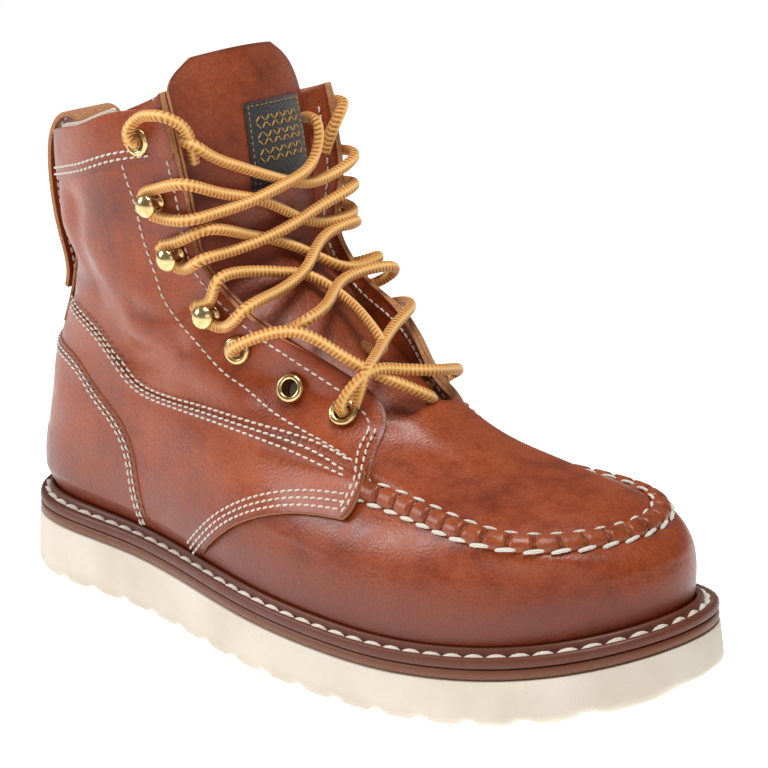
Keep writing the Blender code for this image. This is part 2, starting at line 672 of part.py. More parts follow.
def pull_loop(material, collection):
    """Leather strap at the back: sewn to the shaft, standing off it, and turned in over the collar."""
    line = smooth_line(LOOP_LINE, 26)
    across = np.linspace(-LOOP_WIDTH / 2, LOOP_WIDTH / 2, 3)
    points = np.array([[(x, SIDE + y, z) for y in across] for x, z in line])
    part = add_part("pull_loop", grid_mesh("pull_loop", points, False), material, collection)
    return thicken(part, LOOP_THICK)


# Eyelets, hooks and laces

def eyelet(name, around, row, step, material, collection):
    """Rolled ring on the face of the leather."""
    profile = [(EYELET_INNER + 0.3, 1.3), (EYELET_OUTER - 0.9, 1.3), (EYELET_OUTER, 0.4),
               (EYELET_OUTER, 0.0), (EYELET_INNER, 0.0), (EYELET_INNER, 0.7)]
    part = turned(name, profile, material, collection, 12)
    seat(part, around, row, bearing_lift(around, row, step, EYELET_OUTER))
    return part


def hook(name, around, row, step, material, collection):
    """Domed stud that the lace runs round: foot, stem and dome."""
    profile = [(0, 9.4), (1.6, 9.2), (3.1, 8.5), (HOOK_DOME, 7.2), (HOOK_DOME - 0.3, 6.6), (HOOK_STEM, 6.4),
               (HOOK_STEM, 1.0), (3.2, 0.6), (3.2, 0.0), (0, 0.0)]
    part = turned(name, profile, material, collection, 10)
    seat(part, around, row, bearing_lift(around, row, step, 3.2))
    return part


def throat_frame(height):
    """The throat's edge at a height: its x, and the outward direction in the side view."""
    edge = smooth_line(THROAT_LINE[:-1], 200)[::-1]
    x = np.interp(height, edge[:, 1], edge[:, 0])
    slope = np.interp(height + 4, edge[:, 1], edge[:, 0]) - np.interp(height - 4, edge[:, 1], edge[:, 0])
    out = np.array([8.0, 0.0, -slope])
    return x, out / np.linalg.norm(out)


def over_throat(height, across):
    """Point of a lace strand between the facings, bowed forward over the tongue."""
    x, out = throat_frame(height)
    bow = 5.1 + 3.6 * (1 - (across / 42) ** 2)
    return np.array([x, SIDE + across, height]) + out * bow


def fitting_place(side, name):
    """Place around, section row and step of a fitting on one side."""
    around, row, inner_row, step = next(rest for first, *rest in FITTINGS if first == name)
    return (around, row, step) if side == "outer" else (1 - around, inner_row, step)


def fitting_points(side, name, level):
    """The strand's last points at a fitting: over an eyelet, or beside a hook's stem."""
    around, row, step = fitting_place(side, name)
    if level == 0:
        return [upper_point(around, row, step + 7.5), upper_point(around, row, step + 2.3)]
    rise = upper_point(around, row + 0.1, 0) - upper_point(around, row - 0.1, 0)
    shift = level * (LACE_RADIUS + HOOK_STEM + 1.1) / np.linalg.norm(rise) * 0.2
    return [upper_point(around, row + shift, step + LACE_RADIUS + 0.7)]


def laces(material, collection, guides):
    """All strands between the facings, joined where they cross."""
    pieces = []
    for name, (start, middle, end) in STRANDS.items():
        route = [over_throat(*place) for place in middle]
        if start is not None:
            route = fitting_points(*start)[::-1] + route
        if end is not None:
            route = route + fitting_points(*end)
        reach = sum(np.linalg.norm(np.subtract(a, b)) for a, b in zip(route, route[1:]))
        points = smooth_line(route, max(8, int(reach / 9.0)))
        pieces.append(tube("strand_" + name, points, LACE_RADIUS, None, guides))
    first = pieces[0]
    for piece in pieces[1:]:
        combine(first, hide_cutter(piece), "UNION")
    guides.objects.unlink(first)
    collection.objects.link(first)
    first.name = "laces"
    first.data.materials.append(material)
    return first


def lace_end(name, side, material, collection):
    """The lace's free end: out of the top eyelet, round the facing's edge and in behind it."""
    around, row, step = fitting_place(side, "eyelet_4")
    way = 1 if side == "outer" else -1
    route = [upper_point(around + way * along, row + up, step + lift) for along, up, lift in LACE_END]
    return tube(name, smooth_line(route, 16), LACE_RADIUS, material, collection, resolution=2)


def build():
    clear_scene()
    boot = new_collection("work_boot")
    guides = new_collection("cutters")
    guides.hide_render = True
    leather = new_material("leather", (0.42, 0.13, 0.06), 0.45)
    dark_leather = new_material("edge_leather", (0.24, 0.07, 0.035), 0.6)
    cream = new_material("cream_rubber", (0.80, 0.75, 0.66), 0.7)
    lining = new_material("lining", (0.70, 0.62, 0.50), 0.8)
    brass = new_material("brass", (0.80, 0.66, 0.38), 0.25, 1.0)
    cord = new_material("lace_cord", (0.78, 0.42, 0.11), 0.75)
    black = new_material("woven_label", (0.02, 0.02, 0.025), 0.8)
    outsole(cream, boot)
    midsole(dark_leather, boot)
    welt(dark_leather, boot)
    insole(lining, boot)
    upper(leather, boot, guides)
    tongue(leather, boot)
    tongue_label(black, boot)
    pull_loop(leather, boot)
    for name, *_ in FITTINGS:
        make = eyelet if name.startswith("eyelet") else hook
        for side in ("outer", "inner"):
            make(f"{name}_{side}", *fitting_place(side, name), brass, boot)
    laces(cord, boot, guides)
    lace_end("lace_end_outer", "outer", cord, boot)
    lace_end("lace_end_inner", "inner", cord, boot)


build()
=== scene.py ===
# %% [markdown]
# # Wedge sole work boot
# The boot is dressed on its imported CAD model. The frame is loaded first, because every piece here has to
# lie where the solids lie. Lengths below are in millimetres and MM turns them into metres.

# %% Load the frame
import math

import bmesh
import bpy
import numpy as np
from mathutils import Matrix, Vector


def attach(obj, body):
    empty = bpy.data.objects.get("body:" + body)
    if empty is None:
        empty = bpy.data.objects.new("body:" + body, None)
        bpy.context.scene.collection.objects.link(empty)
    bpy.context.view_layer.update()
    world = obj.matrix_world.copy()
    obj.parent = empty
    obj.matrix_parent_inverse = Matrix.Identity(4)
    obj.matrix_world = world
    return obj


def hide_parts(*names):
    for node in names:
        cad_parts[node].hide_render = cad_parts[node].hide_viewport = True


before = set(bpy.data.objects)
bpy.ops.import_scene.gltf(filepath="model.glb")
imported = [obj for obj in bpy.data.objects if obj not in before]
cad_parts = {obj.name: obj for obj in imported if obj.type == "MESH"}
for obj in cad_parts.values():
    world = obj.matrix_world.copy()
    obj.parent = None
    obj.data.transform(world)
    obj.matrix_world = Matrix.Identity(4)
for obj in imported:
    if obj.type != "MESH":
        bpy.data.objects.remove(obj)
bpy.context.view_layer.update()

MM = 0.001

# %% [markdown]
# ## Camera
# The photograph was taken from a little under a metre, from the outer front quarter and slightly above. A
# camera is its place and its lens. The two angles, the distance and the small roll were found by matching
# the boot's outline, and the focal length is 2608 pixels of the 768 pixel picture.

# %% Camera at the photograph's angle
TARGET = np.array([-7.0, 32.4, 82.6])
CAMERA_DISTANCE = 960.1
AZIMUTH, ELEVATION, ROLL = (math.radians(angle) for angle in (41.6, 16.5, -1.5))
PICTURE_WIDTH = 768
FOCAL_PIXELS = 2607.9
SENSOR = 36.0

backward = np.array([math.sin(AZIMUTH) * math.cos(ELEVATION), -math.cos(AZIMUTH) * math.cos(ELEVATION),
                     math.sin(ELEVATION)])
level = np.array([math.cos(AZIMUTH), math.sin(AZIMUTH), 0.0])
upright = np.cross(backward, level)
right = level * math.cos(ROLL) + upright * math.sin(ROLL)
top = upright * math.cos(ROLL) - level * math.sin(ROLL)
camera_place = (TARGET + backward * CAMERA_DISTANCE) * MM

camera_data = bpy.data.cameras.new("camera")
camera_data.sensor_width = SENSOR
camera_data.lens = FOCAL_PIXELS / PICTURE_WIDTH * SENSOR
camera = bpy.data.objects.new("camera", camera_data)
bpy.context.scene.collection.objects.link(camera)
camera_axes = np.array([right, top, backward]).T
camera_rows = [[*axis, place] for axis, place in zip(camera_axes, camera_place)]
camera.matrix_world = Matrix(camera_rows + [[0, 0, 0, 1]])
bpy.context.scene.camera = camera
print("lens", round(camera_data.lens, 1), "mm at", [round(value, 3) for value in camera_place])

# %% [markdown]
# ## Smooth curves
# A last, the form a boot is made on, has no flat spot and no corner. All its lines are cubic splines: each
# span between two knots is a third-degree curve, and neighbouring spans share slope and bend.

# %% Spline through knots
def spline(knots, values, at, level_ends=False):
    """Value at each place of the cubic curves that share slope and bend where they meet at the knots."""
    knots = np.asarray(knots, float)
    values = np.asarray(values, float)
    at = np.asarray(at, float)
    table = values.reshape(len(knots), -1)
    count = len(knots)
    step = np.diff(knots)
    slope = np.diff(table, axis=0) / step[:, None]
    system = np.eye(count)
    known = np.zeros_like(table)
    inner = np.arange(1, count - 1)
    system[inner, inner - 1] = step[:-1]
    system[inner, inner] = 2 * (step[:-1] + step[1:])
    system[inner, inner + 1] = step[1:]
    known[inner] = 6 * np.diff(slope, axis=0)
    if level_ends:
        system[0, :2] = 2 * step[0], step[0]
        system[-1, -2:] = step[-1], 2 * step[-1]
        known[0] = 6 * slope[0]
        known[-1] = -6 * slope[-1]
    bend = np.linalg.solve(system, known)
    i = np.clip(np.searchsorted(knots, at, side="right") - 1, 0, count - 2)
    t = (at - knots[i])[..., None]
    wide = step[i][..., None]
    result = (table[i] + t * (slope[i] - wide * (2 * bend[i] + bend[i + 1]) / 6)
              + t ** 2 * bend[i] / 2 + t ** 3 * (bend[i + 1] - bend[i]) / (6 * wide))
    return result.reshape(at.shape + values.shape[1:])


print("a spline through 0, 1, 0 is", float(spline([0, 1, 2], [0, 1, 0], 0.5)), "a quarter of the way")

# %% [markdown]
# ## Points along a line
# Rows of stitches and edges need points at even distances, so a line is walked once and read again by the
# distance from its start.

# %% Even points
def reach_along(points):
    """Distance from the first point to each point, along the line."""
    return np.concatenate(([0], np.cumsum(np.linalg.norm(np.diff(points, axis=0), axis=1))))


def unit(vectors):
    """Each vector over its own length."""
    return vectors / np.linalg.norm(vectors, axis=-1)[..., None]


def smooth_line(points, steps):
    """Even points on the spline whose knots are the given points, spaced by their distances."""
    points = np.asarray(points, float)
    reach = reach_along(points)
    return spline(reach, points, np.linspace(0, reach[-1], steps))


print("middle of a smooth line", smooth_line([(0, 0), (1, 1), (2, 0)], 5)[2])

# %% [markdown]
# ## The sole's outline
# The sole's edge is drawn as half widths on each side of the boot's middle line, five on each side, and a
# radius at each end. The wedge is thickest at the heel, and the toe lifts off the floor.

# %% Sole measures
SOLE_BACK, SOLE_FRONT = -153.0, 153.0
HEEL_THICK, BALL_THICK = 22.0, 15.5
WEDGE_END = 0.72
SPRING_START, TOE_SPRING = 45.0, 15.5
MIDSOLE_TOP, WELT_TOP = 4.0, 8.0
SIDE = 3.8
SOLE_ROW = {"back_radius": 29, "front_radius": 40,
            "outer": (31, 38.5, 55.0, 57.0, 38.5), "inner": (32, 34, 33.5, 51.0, 36)}
print("sole is", SOLE_FRONT - SOLE_BACK, "mm long")

# %% [markdown]
# ## Half widths
# Dividing a width by the sine of its half turn leaves a gentle curve to interpolate, and multiplying back
# makes the ends round.

# %% Widths round a half turn
def width_knots(length, back_radius, widths, front_radius):
    """Half widths at even steps of a half turn over the sine of the step, and the ends from their radii."""
    inside = np.asarray(widths, float) / np.sin(np.pi * np.arange(1, 6) / 6)
    ends = np.sqrt(np.array([back_radius, front_radius]) * length / 2)
    return np.concatenate((ends[:1], inside, ends[1:]))


def half_turn(around):
    """Side (-1 outer, +1 inner), half-turn share, and share of the length: half of one minus its cosine."""
    around = np.asarray(around, float) % 1.0
    side = np.where(around < 0.5, -1.0, 1.0)
    turn = np.where(around < 0.5, 2 * around, 2 - 2 * around)
    return side, turn, (1 - np.cos(np.pi * turn)) / 2


def width_at(turn, knots):
    """Half width: the spline of the knots times the sine of the half turn."""
    blend = spline(np.arange(7) / 6, np.eye(7), turn, level_ends=True)
    return (blend * knots).sum(-1) * np.sin(np.pi * turn)


print("side, turn and length share at a quarter:", [float(value) for value in half_turn(0.25)])

# %% [markdown]
# ## Edge of the sole
# The same edge serves the wedge, the midsole and the welt, each set in by its own distance.

# %% Edge of the sole
def spring(x):
    """Rise of the toe off the floor: the square of the share of the way from the ball to the tip."""
    return TOE_SPRING * np.clip((x - SPRING_START) / (SOLE_FRONT - SPRING_START), 0, 1) ** 2


def wedge_top(x):
    """Top edge of the cream wedge: heel thickness eased down to the ball's, plus the toe's rise."""
    share = np.clip((x - SOLE_BACK) / (SOLE_FRONT - SOLE_BACK) / WEDGE_END, 0, 1)
    eased = 0.5 * share + 0.5 * share * share * (3 - 2 * share)
    return HEEL_THICK + (BALL_THICK - HEEL_THICK) * eased + spring(x)


def sole_ring(around, inset=0.0):
    """Plan of the sole's edge: length share for x, half width for y, moved inwards square to the edge."""
    length = SOLE_FRONT - SOLE_BACK
    ends = SOLE_ROW["back_radius"], SOLE_ROW["front_radius"]

    def edge(at):
        """The edge itself, before the inset."""
        side, turn, share = half_turn(at)
        outer = width_at(turn, width_knots(length, ends[0], SOLE_ROW["outer"], ends[1]))
        inner = width_at(turn, width_knots(length, ends[0], SOLE_ROW["inner"], ends[1]))
        return np.stack([SOLE_BACK + length * share, SIDE + side * np.where(side < 0, outer, inner)], -1)

    small = 0.001
    along = unit(edge(around + small) - edge(around - small))
    inward = np.stack([-along[..., 1], along[..., 0]], -1)
    return edge(around) + inward * np.asarray(inset, float)[..., None]


print("sole is", round(float(np.ptp(sole_ring(np.arange(200) / 200)[:, 1])), 1), "mm wide")

# %% [markdown]
# ## The last
# The upper follows one surface. Thirteen slices run from the feather line, where the upper meets the sole,
# to the collar. A place on it is how far round the slice (0 heel, 0.25 outer side, 0.5 toe, 0.75 inner
# side) and which slice. Every leather piece is then a sheet of this surface, lifted by its layer.

# %% Slices of the last
SECTIONS = [
    # back x, z     front x, z   curve  radii    outer half widths             inner half widths
    (-146.5, 30.0,  144.0, 37.0, 1.0, 25, 36, (25.2, 32, 49.0, 52.0, 35.0), (28.5, 29.5, 28.5, 45.0, 30)),
    (-147.0, 46.0,  144.2, 50.0, 0.8, 26, 38, (25.2, 34, 49.0, 53.5, 37.5), (29.0, 32.0, 33.0, 46.0, 32.5)),
    (-143.0, 64.0,  140.0, 59.5, 0.4, 26, 42, (24.2, 34, 45.0, 49.5, 37.5), (28.0, 32.5, 36.0, 40.5, 31.5)),
    (-139.5, 80.0,  130.0, 65.0, 0.0, 26, 42, (23.0, 33, 39.5, 40.0, 38.0), (26.5, 32, 35.5, 24.5, 27.5)),
    (-137.5, 87.0,  116.0, 71.0, 0.0, 24, 28, (22.8, 32, 38.0, 34.0, 22), (25, 31, 35.5, 22.5, 16.5)),
    (-135.0, 94.0,  94.0, 75.5, 0.0, 23, 20, (22.0, 32, 37.0, 31.0, 17), (24, 31, 36.0, 23.5, 14.5)),
    (-131.5, 102.0, 68.0, 81.0, 0.0, 22, 18, (21.5, 32, 37.0, 30.0, 16), (22, 31, 36.5, 26.0, 15)),
    (-127.0, 113.0, 41.0, 91.5, 0.0, 22, 18, (21, 33, 38.0, 29.0, 18.5), (22, 32, 37.5, 28.0, 18.5)),
    (-125.0, 119.5, 28.0, 103.0, 0.0, 23, 24, (21, 34, 38.0, 30.0, 22), (22, 33, 38.0, 30.0, 22)),
    (-124.0, 127.0, 12.0, 117.0, 0.0, 24, 28, (21, 35, 38.5, 31.0, 24), (22, 34, 38.5, 32.0, 24.5)),
    (-126.0, 140.0, -6.0, 137.0, 0.0, 27, 32, (22, 36, 40.0, 35.5, 26), (23, 35, 40.0, 35.5, 26)),
    (-127.2, 155.0, -14.0, 161.0, 0.0, 32, 40, (21.5, 36, 42.0, 39.5, 30), (24, 37, 42.0, 39.0, 30)),
    (-127.0, 171.0, -22.0, 198.5, 0.0, 36, 44, (21.5, 36, 43.5, 40.5, 31), (25, 38, 43.5, 40.0, 31)),
]
SEAM_ROW = 3
SECTION_TABLE = np.array([
    [back_x, back_z, front_x, front_z, curve,
     *width_knots(front_x - back_x, back_radius, outer, front_radius),
     *width_knots(front_x - back_x, back_radius, inner, front_radius)]
    for back_x, back_z, front_x, front_z, curve, back_radius, front_radius, outer, inner in SECTIONS])
print(len(SECTIONS), "slices of", SECTION_TABLE.shape[1], "values")

# %% [markdown]
# ## Surface of the last
# Between the slices every value follows a spline over the rows, so the surface is smooth in both
# directions. Its outward direction is worked out from small steps round and up.

# %% Surface of the last
def slice_line(columns, share):
    """x and height of a slice: straight from back to front, plus its part of the sole's curve."""
    x = columns[..., 0] + (columns[..., 2] - columns[..., 0]) * share
    feather_x = SECTIONS[0][0] + (SECTIONS[0][2] - SECTIONS[0][0]) * share
    feather_line = SECTIONS[0][1] + (SECTIONS[0][3] - SECTIONS[0][1]) * share
    sole_curve = wedge_top(feather_x) + WELT_TOP - feather_line
    return x, columns[..., 1] + (columns[..., 3] - columns[..., 1]) * share + columns[..., 4] * sole_curve


def last_surface(around, row):
    """Point of the last: the slice's line for x and z, and its half width on that side for y."""
    around, row = np.broadcast_arrays(np.asarray(around, float), np.asarray(row, float))
    columns = spline(np.arange(len(SECTIONS)), SECTION_TABLE, row)
    side, turn, share = half_turn(around)
    outer = width_at(turn, columns[..., 5:12])
    inner = width_at(turn, columns[..., 12:19])
    x, z = slice_line(columns, share)
    return np.stack([x, SIDE + side * np.where(side < 0, outer, inner), z], -1)


def surface_normal(around, row):
    """Outward direction: the cross product of the directions round the slice and up the rows."""
    small = 0.002
    across = last_surface(around + small, row) - last_surface(around - small, row)
    up = last_surface(around, row + 10 * small) - last_surface(around, row - 10 * small)
    return unit(np.cross(across, up))


def upper_point(around, row, lift=0.0):
    """Point of the last moved along its outward direction by the lift."""
    around, row = np.broadcast_arrays(np.asarray(around, float), np.asarray(row, float))
    return last_surface(around, row) + surface_normal(around, row) * np.asarray(lift, float)[..., None]


print("toe of the seam", upper_point(0.5, SEAM_ROW).round(1))

# %% [markdown]
# ## Drawing on the side view
# A boot pattern is drawn flat, and most of this boot's seams are easiest to draw as they show from its
# side. The next function finds the place on the last under each side-view point, so that an edge or a
# stitch line is a short list of x and z values.

# %% From the side view to the last
def on_side(places):
    """Place around and row: for each point, the row whose slice passes through it at its x."""
    x, z = np.atleast_2d(np.asarray(places, float)).T
    rows = np.linspace(-0.4, 12.6, 1301)
    columns = spline(np.arange(len(SECTIONS)), SECTION_TABLE, rows)[:, None]
    share = np.clip((x - columns[..., 0]) / (columns[..., 2] - columns[..., 0]), 0, 1)
    height = slice_line(columns, share)[1]
    above = np.clip((height < z).sum(0), 1, len(rows) - 1)
    point = np.arange(len(x))
    low, high = height[above - 1, point], height[above, point]
    part = np.clip((z - low) / (high - low), 0, 1)
    row = rows[above - 1] + part * (rows[1] - rows[0])
    place = share[above - 1, point] * (1 - part) + share[above, point] * part
    return np.stack([np.arccos(1 - 2 * place) / (2 * np.pi), row], -1)


def even(track, count):
    """The same track of places around and rows, with its points evenly spaced on the leather."""
    reach = reach_along(last_surface(track[:, 0], track[:, 1]))
    at = np.linspace(0, reach[-1], count)
    return np.stack([np.interp(at, reach, track[:, 0]), np.interp(at, reach, track[:, 1])], -1)


def drawn(line, count):
    """Side-view line as a track on the last."""
    return even(on_side(smooth_line(line, 240)), count)


def straight(first, last, count):
    """Track straight between two places, in the last's own measures."""
    return np.linspace(first, last, count)


print("a point at the ankle is at", on_side([(-90, 120)])[0].round(3), "on the last")

# %% [markdown]
# ## Pattern lines
# These are the edges of the leather pieces in the side view: the facing and the front and lower edges of
# the quarter, the shaft's lower edge, the rims, the counter and the collar band.

# %% Edges of the pieces
FACING_EDGE = [(36.8, 86.9), (33.4, 91.3), (28.8, 95.2), (22.8, 100), (10.6, 108), (-1, 113.4), (-16, 120),
               (-26, 127.6), (-33.4, 137), (-34.8, 157), (-36.6, 168), (-40.4, 185), (-43.8, 198)]
QUARTER_FRONT = [(40.1, 60.4), (41.9, 62.5), (42.5, 68), (42.4, 76.7), (38.9, 82), (36.8, 86.9)]
QUARTER_LOW = [(-36.4, 28.3), (-28.1, 35.5), (-13.9, 46.2), (5, 55), (19.2, 58.6), (40.1, 60.4)]
SHAFT_LOW = [(-119, 99.5), (-92, 91), (-75.5, 79.5), (-54.6, 76), (-27, 75.5), (-2, 73.6), (20.6, 71),
             (42.5, 67.5)]
RIMS = {
    "outer": [(-127, 171), (-98.8, 179.3), (-88.6, 181.5), (-78.3, 185), (-67.9, 188.8), (-50.9, 192.7),
              (-43.8, 198)],
    "inner": [(-127, 171), (-98.8, 177.2), (-88.6, 178.7), (-78.3, 180.6), (-67.9, 182.9), (-50.9, 186.8),
              (-41.6, 189.5)],
}
FACINGS = {"outer": FACING_EDGE, "inner": FACING_EDGE[:-1] + [(-41.6, 189.5)]}
COUNTER_TOP = [(-133.5, 92), (-129.4, 91.3), (-109.2, 87.5), (-98.5, 80.4), (-83.2, 71.4), (-74.2, 60.3),
               (-69.7, 41.5), (-66, 30.3), (-64, 24)]
BAND_LOW = [(-128.5, 152), (-120, 154.5), (-100.7, 159.8), (-81.6, 165.2), (-69.8, 169.3), (-59.2, 171.7),
            (-40, 174.6)]
print("facing edge", drawn(FACING_EDGE, 3).round(3).tolist())

# %% [markdown]
# ## Patches
# A leather piece is cut to four edges, so it is filled as a Coons patch: the two ways of ruling between
# opposite edges are added, and the plain blend of the corners is taken off once. Pieces that run round the
# heel or the toe are one half drawn and one half mirrored.

# %% Patch between four edges
def patch(bottom, upper_edge, back, front):
    """Ruled bottom to top, plus ruled back to front, minus the blend of the four corners."""
    u = np.linspace(0, 1, len(bottom))[None, :, None]
    v = np.linspace(0, 1, len(back))[:, None, None]
    corners = ((1 - u) * (1 - v) * bottom[0] + u * (1 - v) * bottom[-1]
               + (1 - u) * v * upper_edge[0] + u * v * upper_edge[-1])
    return (1 - v) * bottom + v * upper_edge + (1 - u) * back[:, None] + u * front[:, None] - corners


def round_heel(half, inner_half=None):
    """Whole piece from an outer half that starts at the heel line, and an inner one drawn as if outer."""
    inner = half if inner_half is None else inner_half
    return np.concatenate([inner[:, :0:-1] * [-1, 1], half], axis=1)


def round_toe(half):
    """Whole piece from an outer half that ends at the toe line."""
    return np.concatenate([half, half[:, -2::-1] * [-1, 1] + [1, 0]], axis=1)


def mirrored(track):
    """The same track on the boot's other side."""
    return track * [-1, 1] + [1, 0]


print("patch corner", patch(*[straight((0, 0), (1, 0), 3), straight((0, 1), (1, 1), 3),
                              straight((0, 0), (0, 1), 3), straight((1, 0), (1, 1), 3)])[-1, -1])

# %% [markdown]
# ## Meshes and materials
# Grids of points become meshes whose faces are quads in rows. Each finished piece keeps its place in its
# mesh, rides on the boot's only body, and hides the solids that it stands for.

# %% Grid to mesh
def grid_faces(rows, columns, wrap=False):
    """Quads between neighbouring rows and columns, facing out where columns run round and rows run up."""
    i = np.arange(rows - 1)[:, None]
    j = np.arange(columns if wrap else columns - 1)[None, :]
    after = (j + 1) % columns
    corners = [i * columns + j, i * columns + after, (i + 1) * columns + after, (i + 1) * columns + j]
    return np.stack(corners, -1).reshape(-1, 4)


def face_outwards(mesh, merge=0.0):
    """Merges points that are closer than this many metres, then turns every face outwards."""
    shape = bmesh.new()
    shape.from_mesh(mesh)
    if merge:
        bmesh.ops.remove_doubles(shape, verts=shape.verts, dist=merge)
    bmesh.ops.recalc_face_normals(shape, faces=shape.faces)
    shape.to_mesh(mesh)
    shape.free()


def add_piece(name, points, faces, materials, stands_for=(), attributes=None):
    """Mesh object from points in millimetres, with its attributes given point by point."""
    mesh = bpy.data.meshes.new(name)
    mesh.from_pydata((np.asarray(points, float).reshape(-1, 3) * MM).tolist(), [],
                     [list(map(int, face)) for face in faces])
    for label, values in (attributes or {}).items():
        layer = mesh.attributes.new(label, "FLOAT", "POINT")
        layer.data.foreach_set("value", np.asarray(values, float).ravel())
    mesh.shade_smooth()
    piece = bpy.data.objects.new(name, mesh)
    for material in materials:
        mesh.materials.append(material)
    bpy.context.scene.collection.objects.link(piece)
    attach(piece, "root")
    if stands_for:
        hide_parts(*stands_for)
    return piece


print("faces of a 3 by 4 grid:", len(grid_faces(3, 4)))

# %% [markdown]
# ## Thickness
# Leather is cut from a flat sheet, so a piece is made as a surface first and then given its thickness
# towards the foot.

# %% Thickness and soft edges
EDGE_ANGLE = 50


def thicken(piece, thickness, edge=0.35, back_slot=1):
    """Solidify gives the sheet its thickness inwards, and Bevel takes the sharpness off its cut edges. The
    cut edges take the second material, and so does the back unless its slot is 0."""
    solid = piece.modifiers.new("thickness", "SOLIDIFY")
    solid.thickness = thickness * MM
    solid.offset = -1.0
    if len(piece.data.materials) > 1:
        solid.material_offset = back_slot
        solid.material_offset_rim = 1
    round_edge = piece.modifiers.new("round_edge", "BEVEL")
    round_edge.width = edge * MM
    round_edge.segments = 2
    round_edge.limit_method = "ANGLE"
    round_edge.angle_limit = math.radians(EDGE_ANGLE)
    return piece


print("edges sharper than", EDGE_ANGLE, "degrees are rounded")

# %% [markdown]
# ## Node helper
# Every finish is a small tree of nodes. One function adds a node with its settings and links, so that a
# material reads from top to bottom like a recipe. Colours are written as they look on a screen, and are
# turned to the linear values that light is reckoned in.

# %% Colours and nodes
def screen_colour(code):
    """Linear colour: values over 0.04045 go through the 2.4 power of the screen's curve."""
    value = np.array([int(code[i:i + 2], 16) for i in (0, 2, 4)]) / 255
    linear = np.where(value > 0.04045, ((value + 0.055) / 1.055) ** 2.4, value / 12.92)
    return (*linear.tolist(), 1.0)


def new_material(name, roughness, **sockets):
    """Material with its shader's constant sockets set."""
    material = bpy.data.materials.new(name)
    material.use_nodes = True
    shader = material.node_tree.nodes["Principled BSDF"]
    shader.inputs["Roughness"].default_value = roughness
    for socket, value in sockets.items():
        shader.inputs[socket.replace("_", " ")].default_value = value
    return material


def add_node(material, kind, sockets=None, **settings):
    """Node with its settings. A socket gets a value, or a link where another node's output is given."""
    node = material.node_tree.nodes.new(kind)
    for name, value in settings.items():
        setattr(node, name, value)
    for socket, value in (sockets or {}).items():
        if isinstance(value, bpy.types.NodeSocket):
            material.node_tree.links.new(value, node.inputs[socket])
        else:
            node.inputs[socket].default_value = value
    return node


def to_shader(material, **outputs):
    """Links outputs to the shader's sockets."""
    shader = material.node_tree.nodes["Principled BSDF"]
    for socket, output in outputs.items():
        material.node_tree.links.new(output, shader.inputs[socket.replace("_", " ")])


print("white in linear light", screen_colour("ffffff")[0])

# %% [markdown]
# ## Words of the recipes
# A finish says what it mixes in a few words: a ramp of colours, a blend of two, a noise or cells of a size
# in millimetres, and a bump of a depth in millimetres.

# %% Words of the recipes
def ramp(material, factor, stops):
    """Colour ramp from (place, screen colour) stops."""
    node = add_node(material, "ShaderNodeValToRGB", {0: factor})
    elements = node.color_ramp.elements
    for index, (place, code) in enumerate(stops):
        element = elements[index] if index < 2 else elements.new(place)
        element.position = place
        element.color = screen_colour(code)
    return node.outputs["Color"]


def scaled(material, factor, low, high, to_low, to_high):
    """Map Range from one span of values to another."""
    sockets = {"Value": factor, "From Min": low, "From Max": high, "To Min": to_low, "To Max": to_high}
    return add_node(material, "ShaderNodeMapRange", sockets).outputs["Result"]


def blend(material, factor, first, second, kind="MIX"):
    """Mix of two colours."""
    node = add_node(material, "ShaderNodeMix", {0: factor}, data_type="RGBA", blend_type=kind)
    for index, colour in ((6, first), (7, second)):
        if isinstance(colour, str):
            node.inputs[index].default_value = screen_colour(colour)
        else:
            material.node_tree.links.new(colour, node.inputs[index])
    return node.outputs[2]


def maths(material, operation, first, second=0.0):
    """One step of arithmetic on two values."""
    return add_node(material, "ShaderNodeMath", {0: first, 1: second}, operation=operation).outputs[0]


def noise(material, vector, size, detail=3.0, rough=0.5):
    """Noise whose lumps are about this many millimetres."""
    sockets = {"Vector": vector, "Scale": 1000.0 / size, "Detail": detail, "Roughness": rough}
    return add_node(material, "ShaderNodeTexNoise", sockets).outputs["Fac"]


def cells(material, vector, size, feature="F1"):
    """Voronoi cells about this many millimetres wide."""
    sockets = {"Vector": vector, "Scale": 1000.0 / size}
    return add_node(material, "ShaderNodeTexVoronoi", sockets, feature=feature).outputs["Distance"]


def bump(material, height, depth):
    """Bump whose height of 1 stands for this many millimetres."""
    return add_node(material, "ShaderNodeBump", {"Height": height, "Distance": depth * MM}).outputs["Normal"]


print("a noise of 2 mm has scale", 1000.0 / 2)
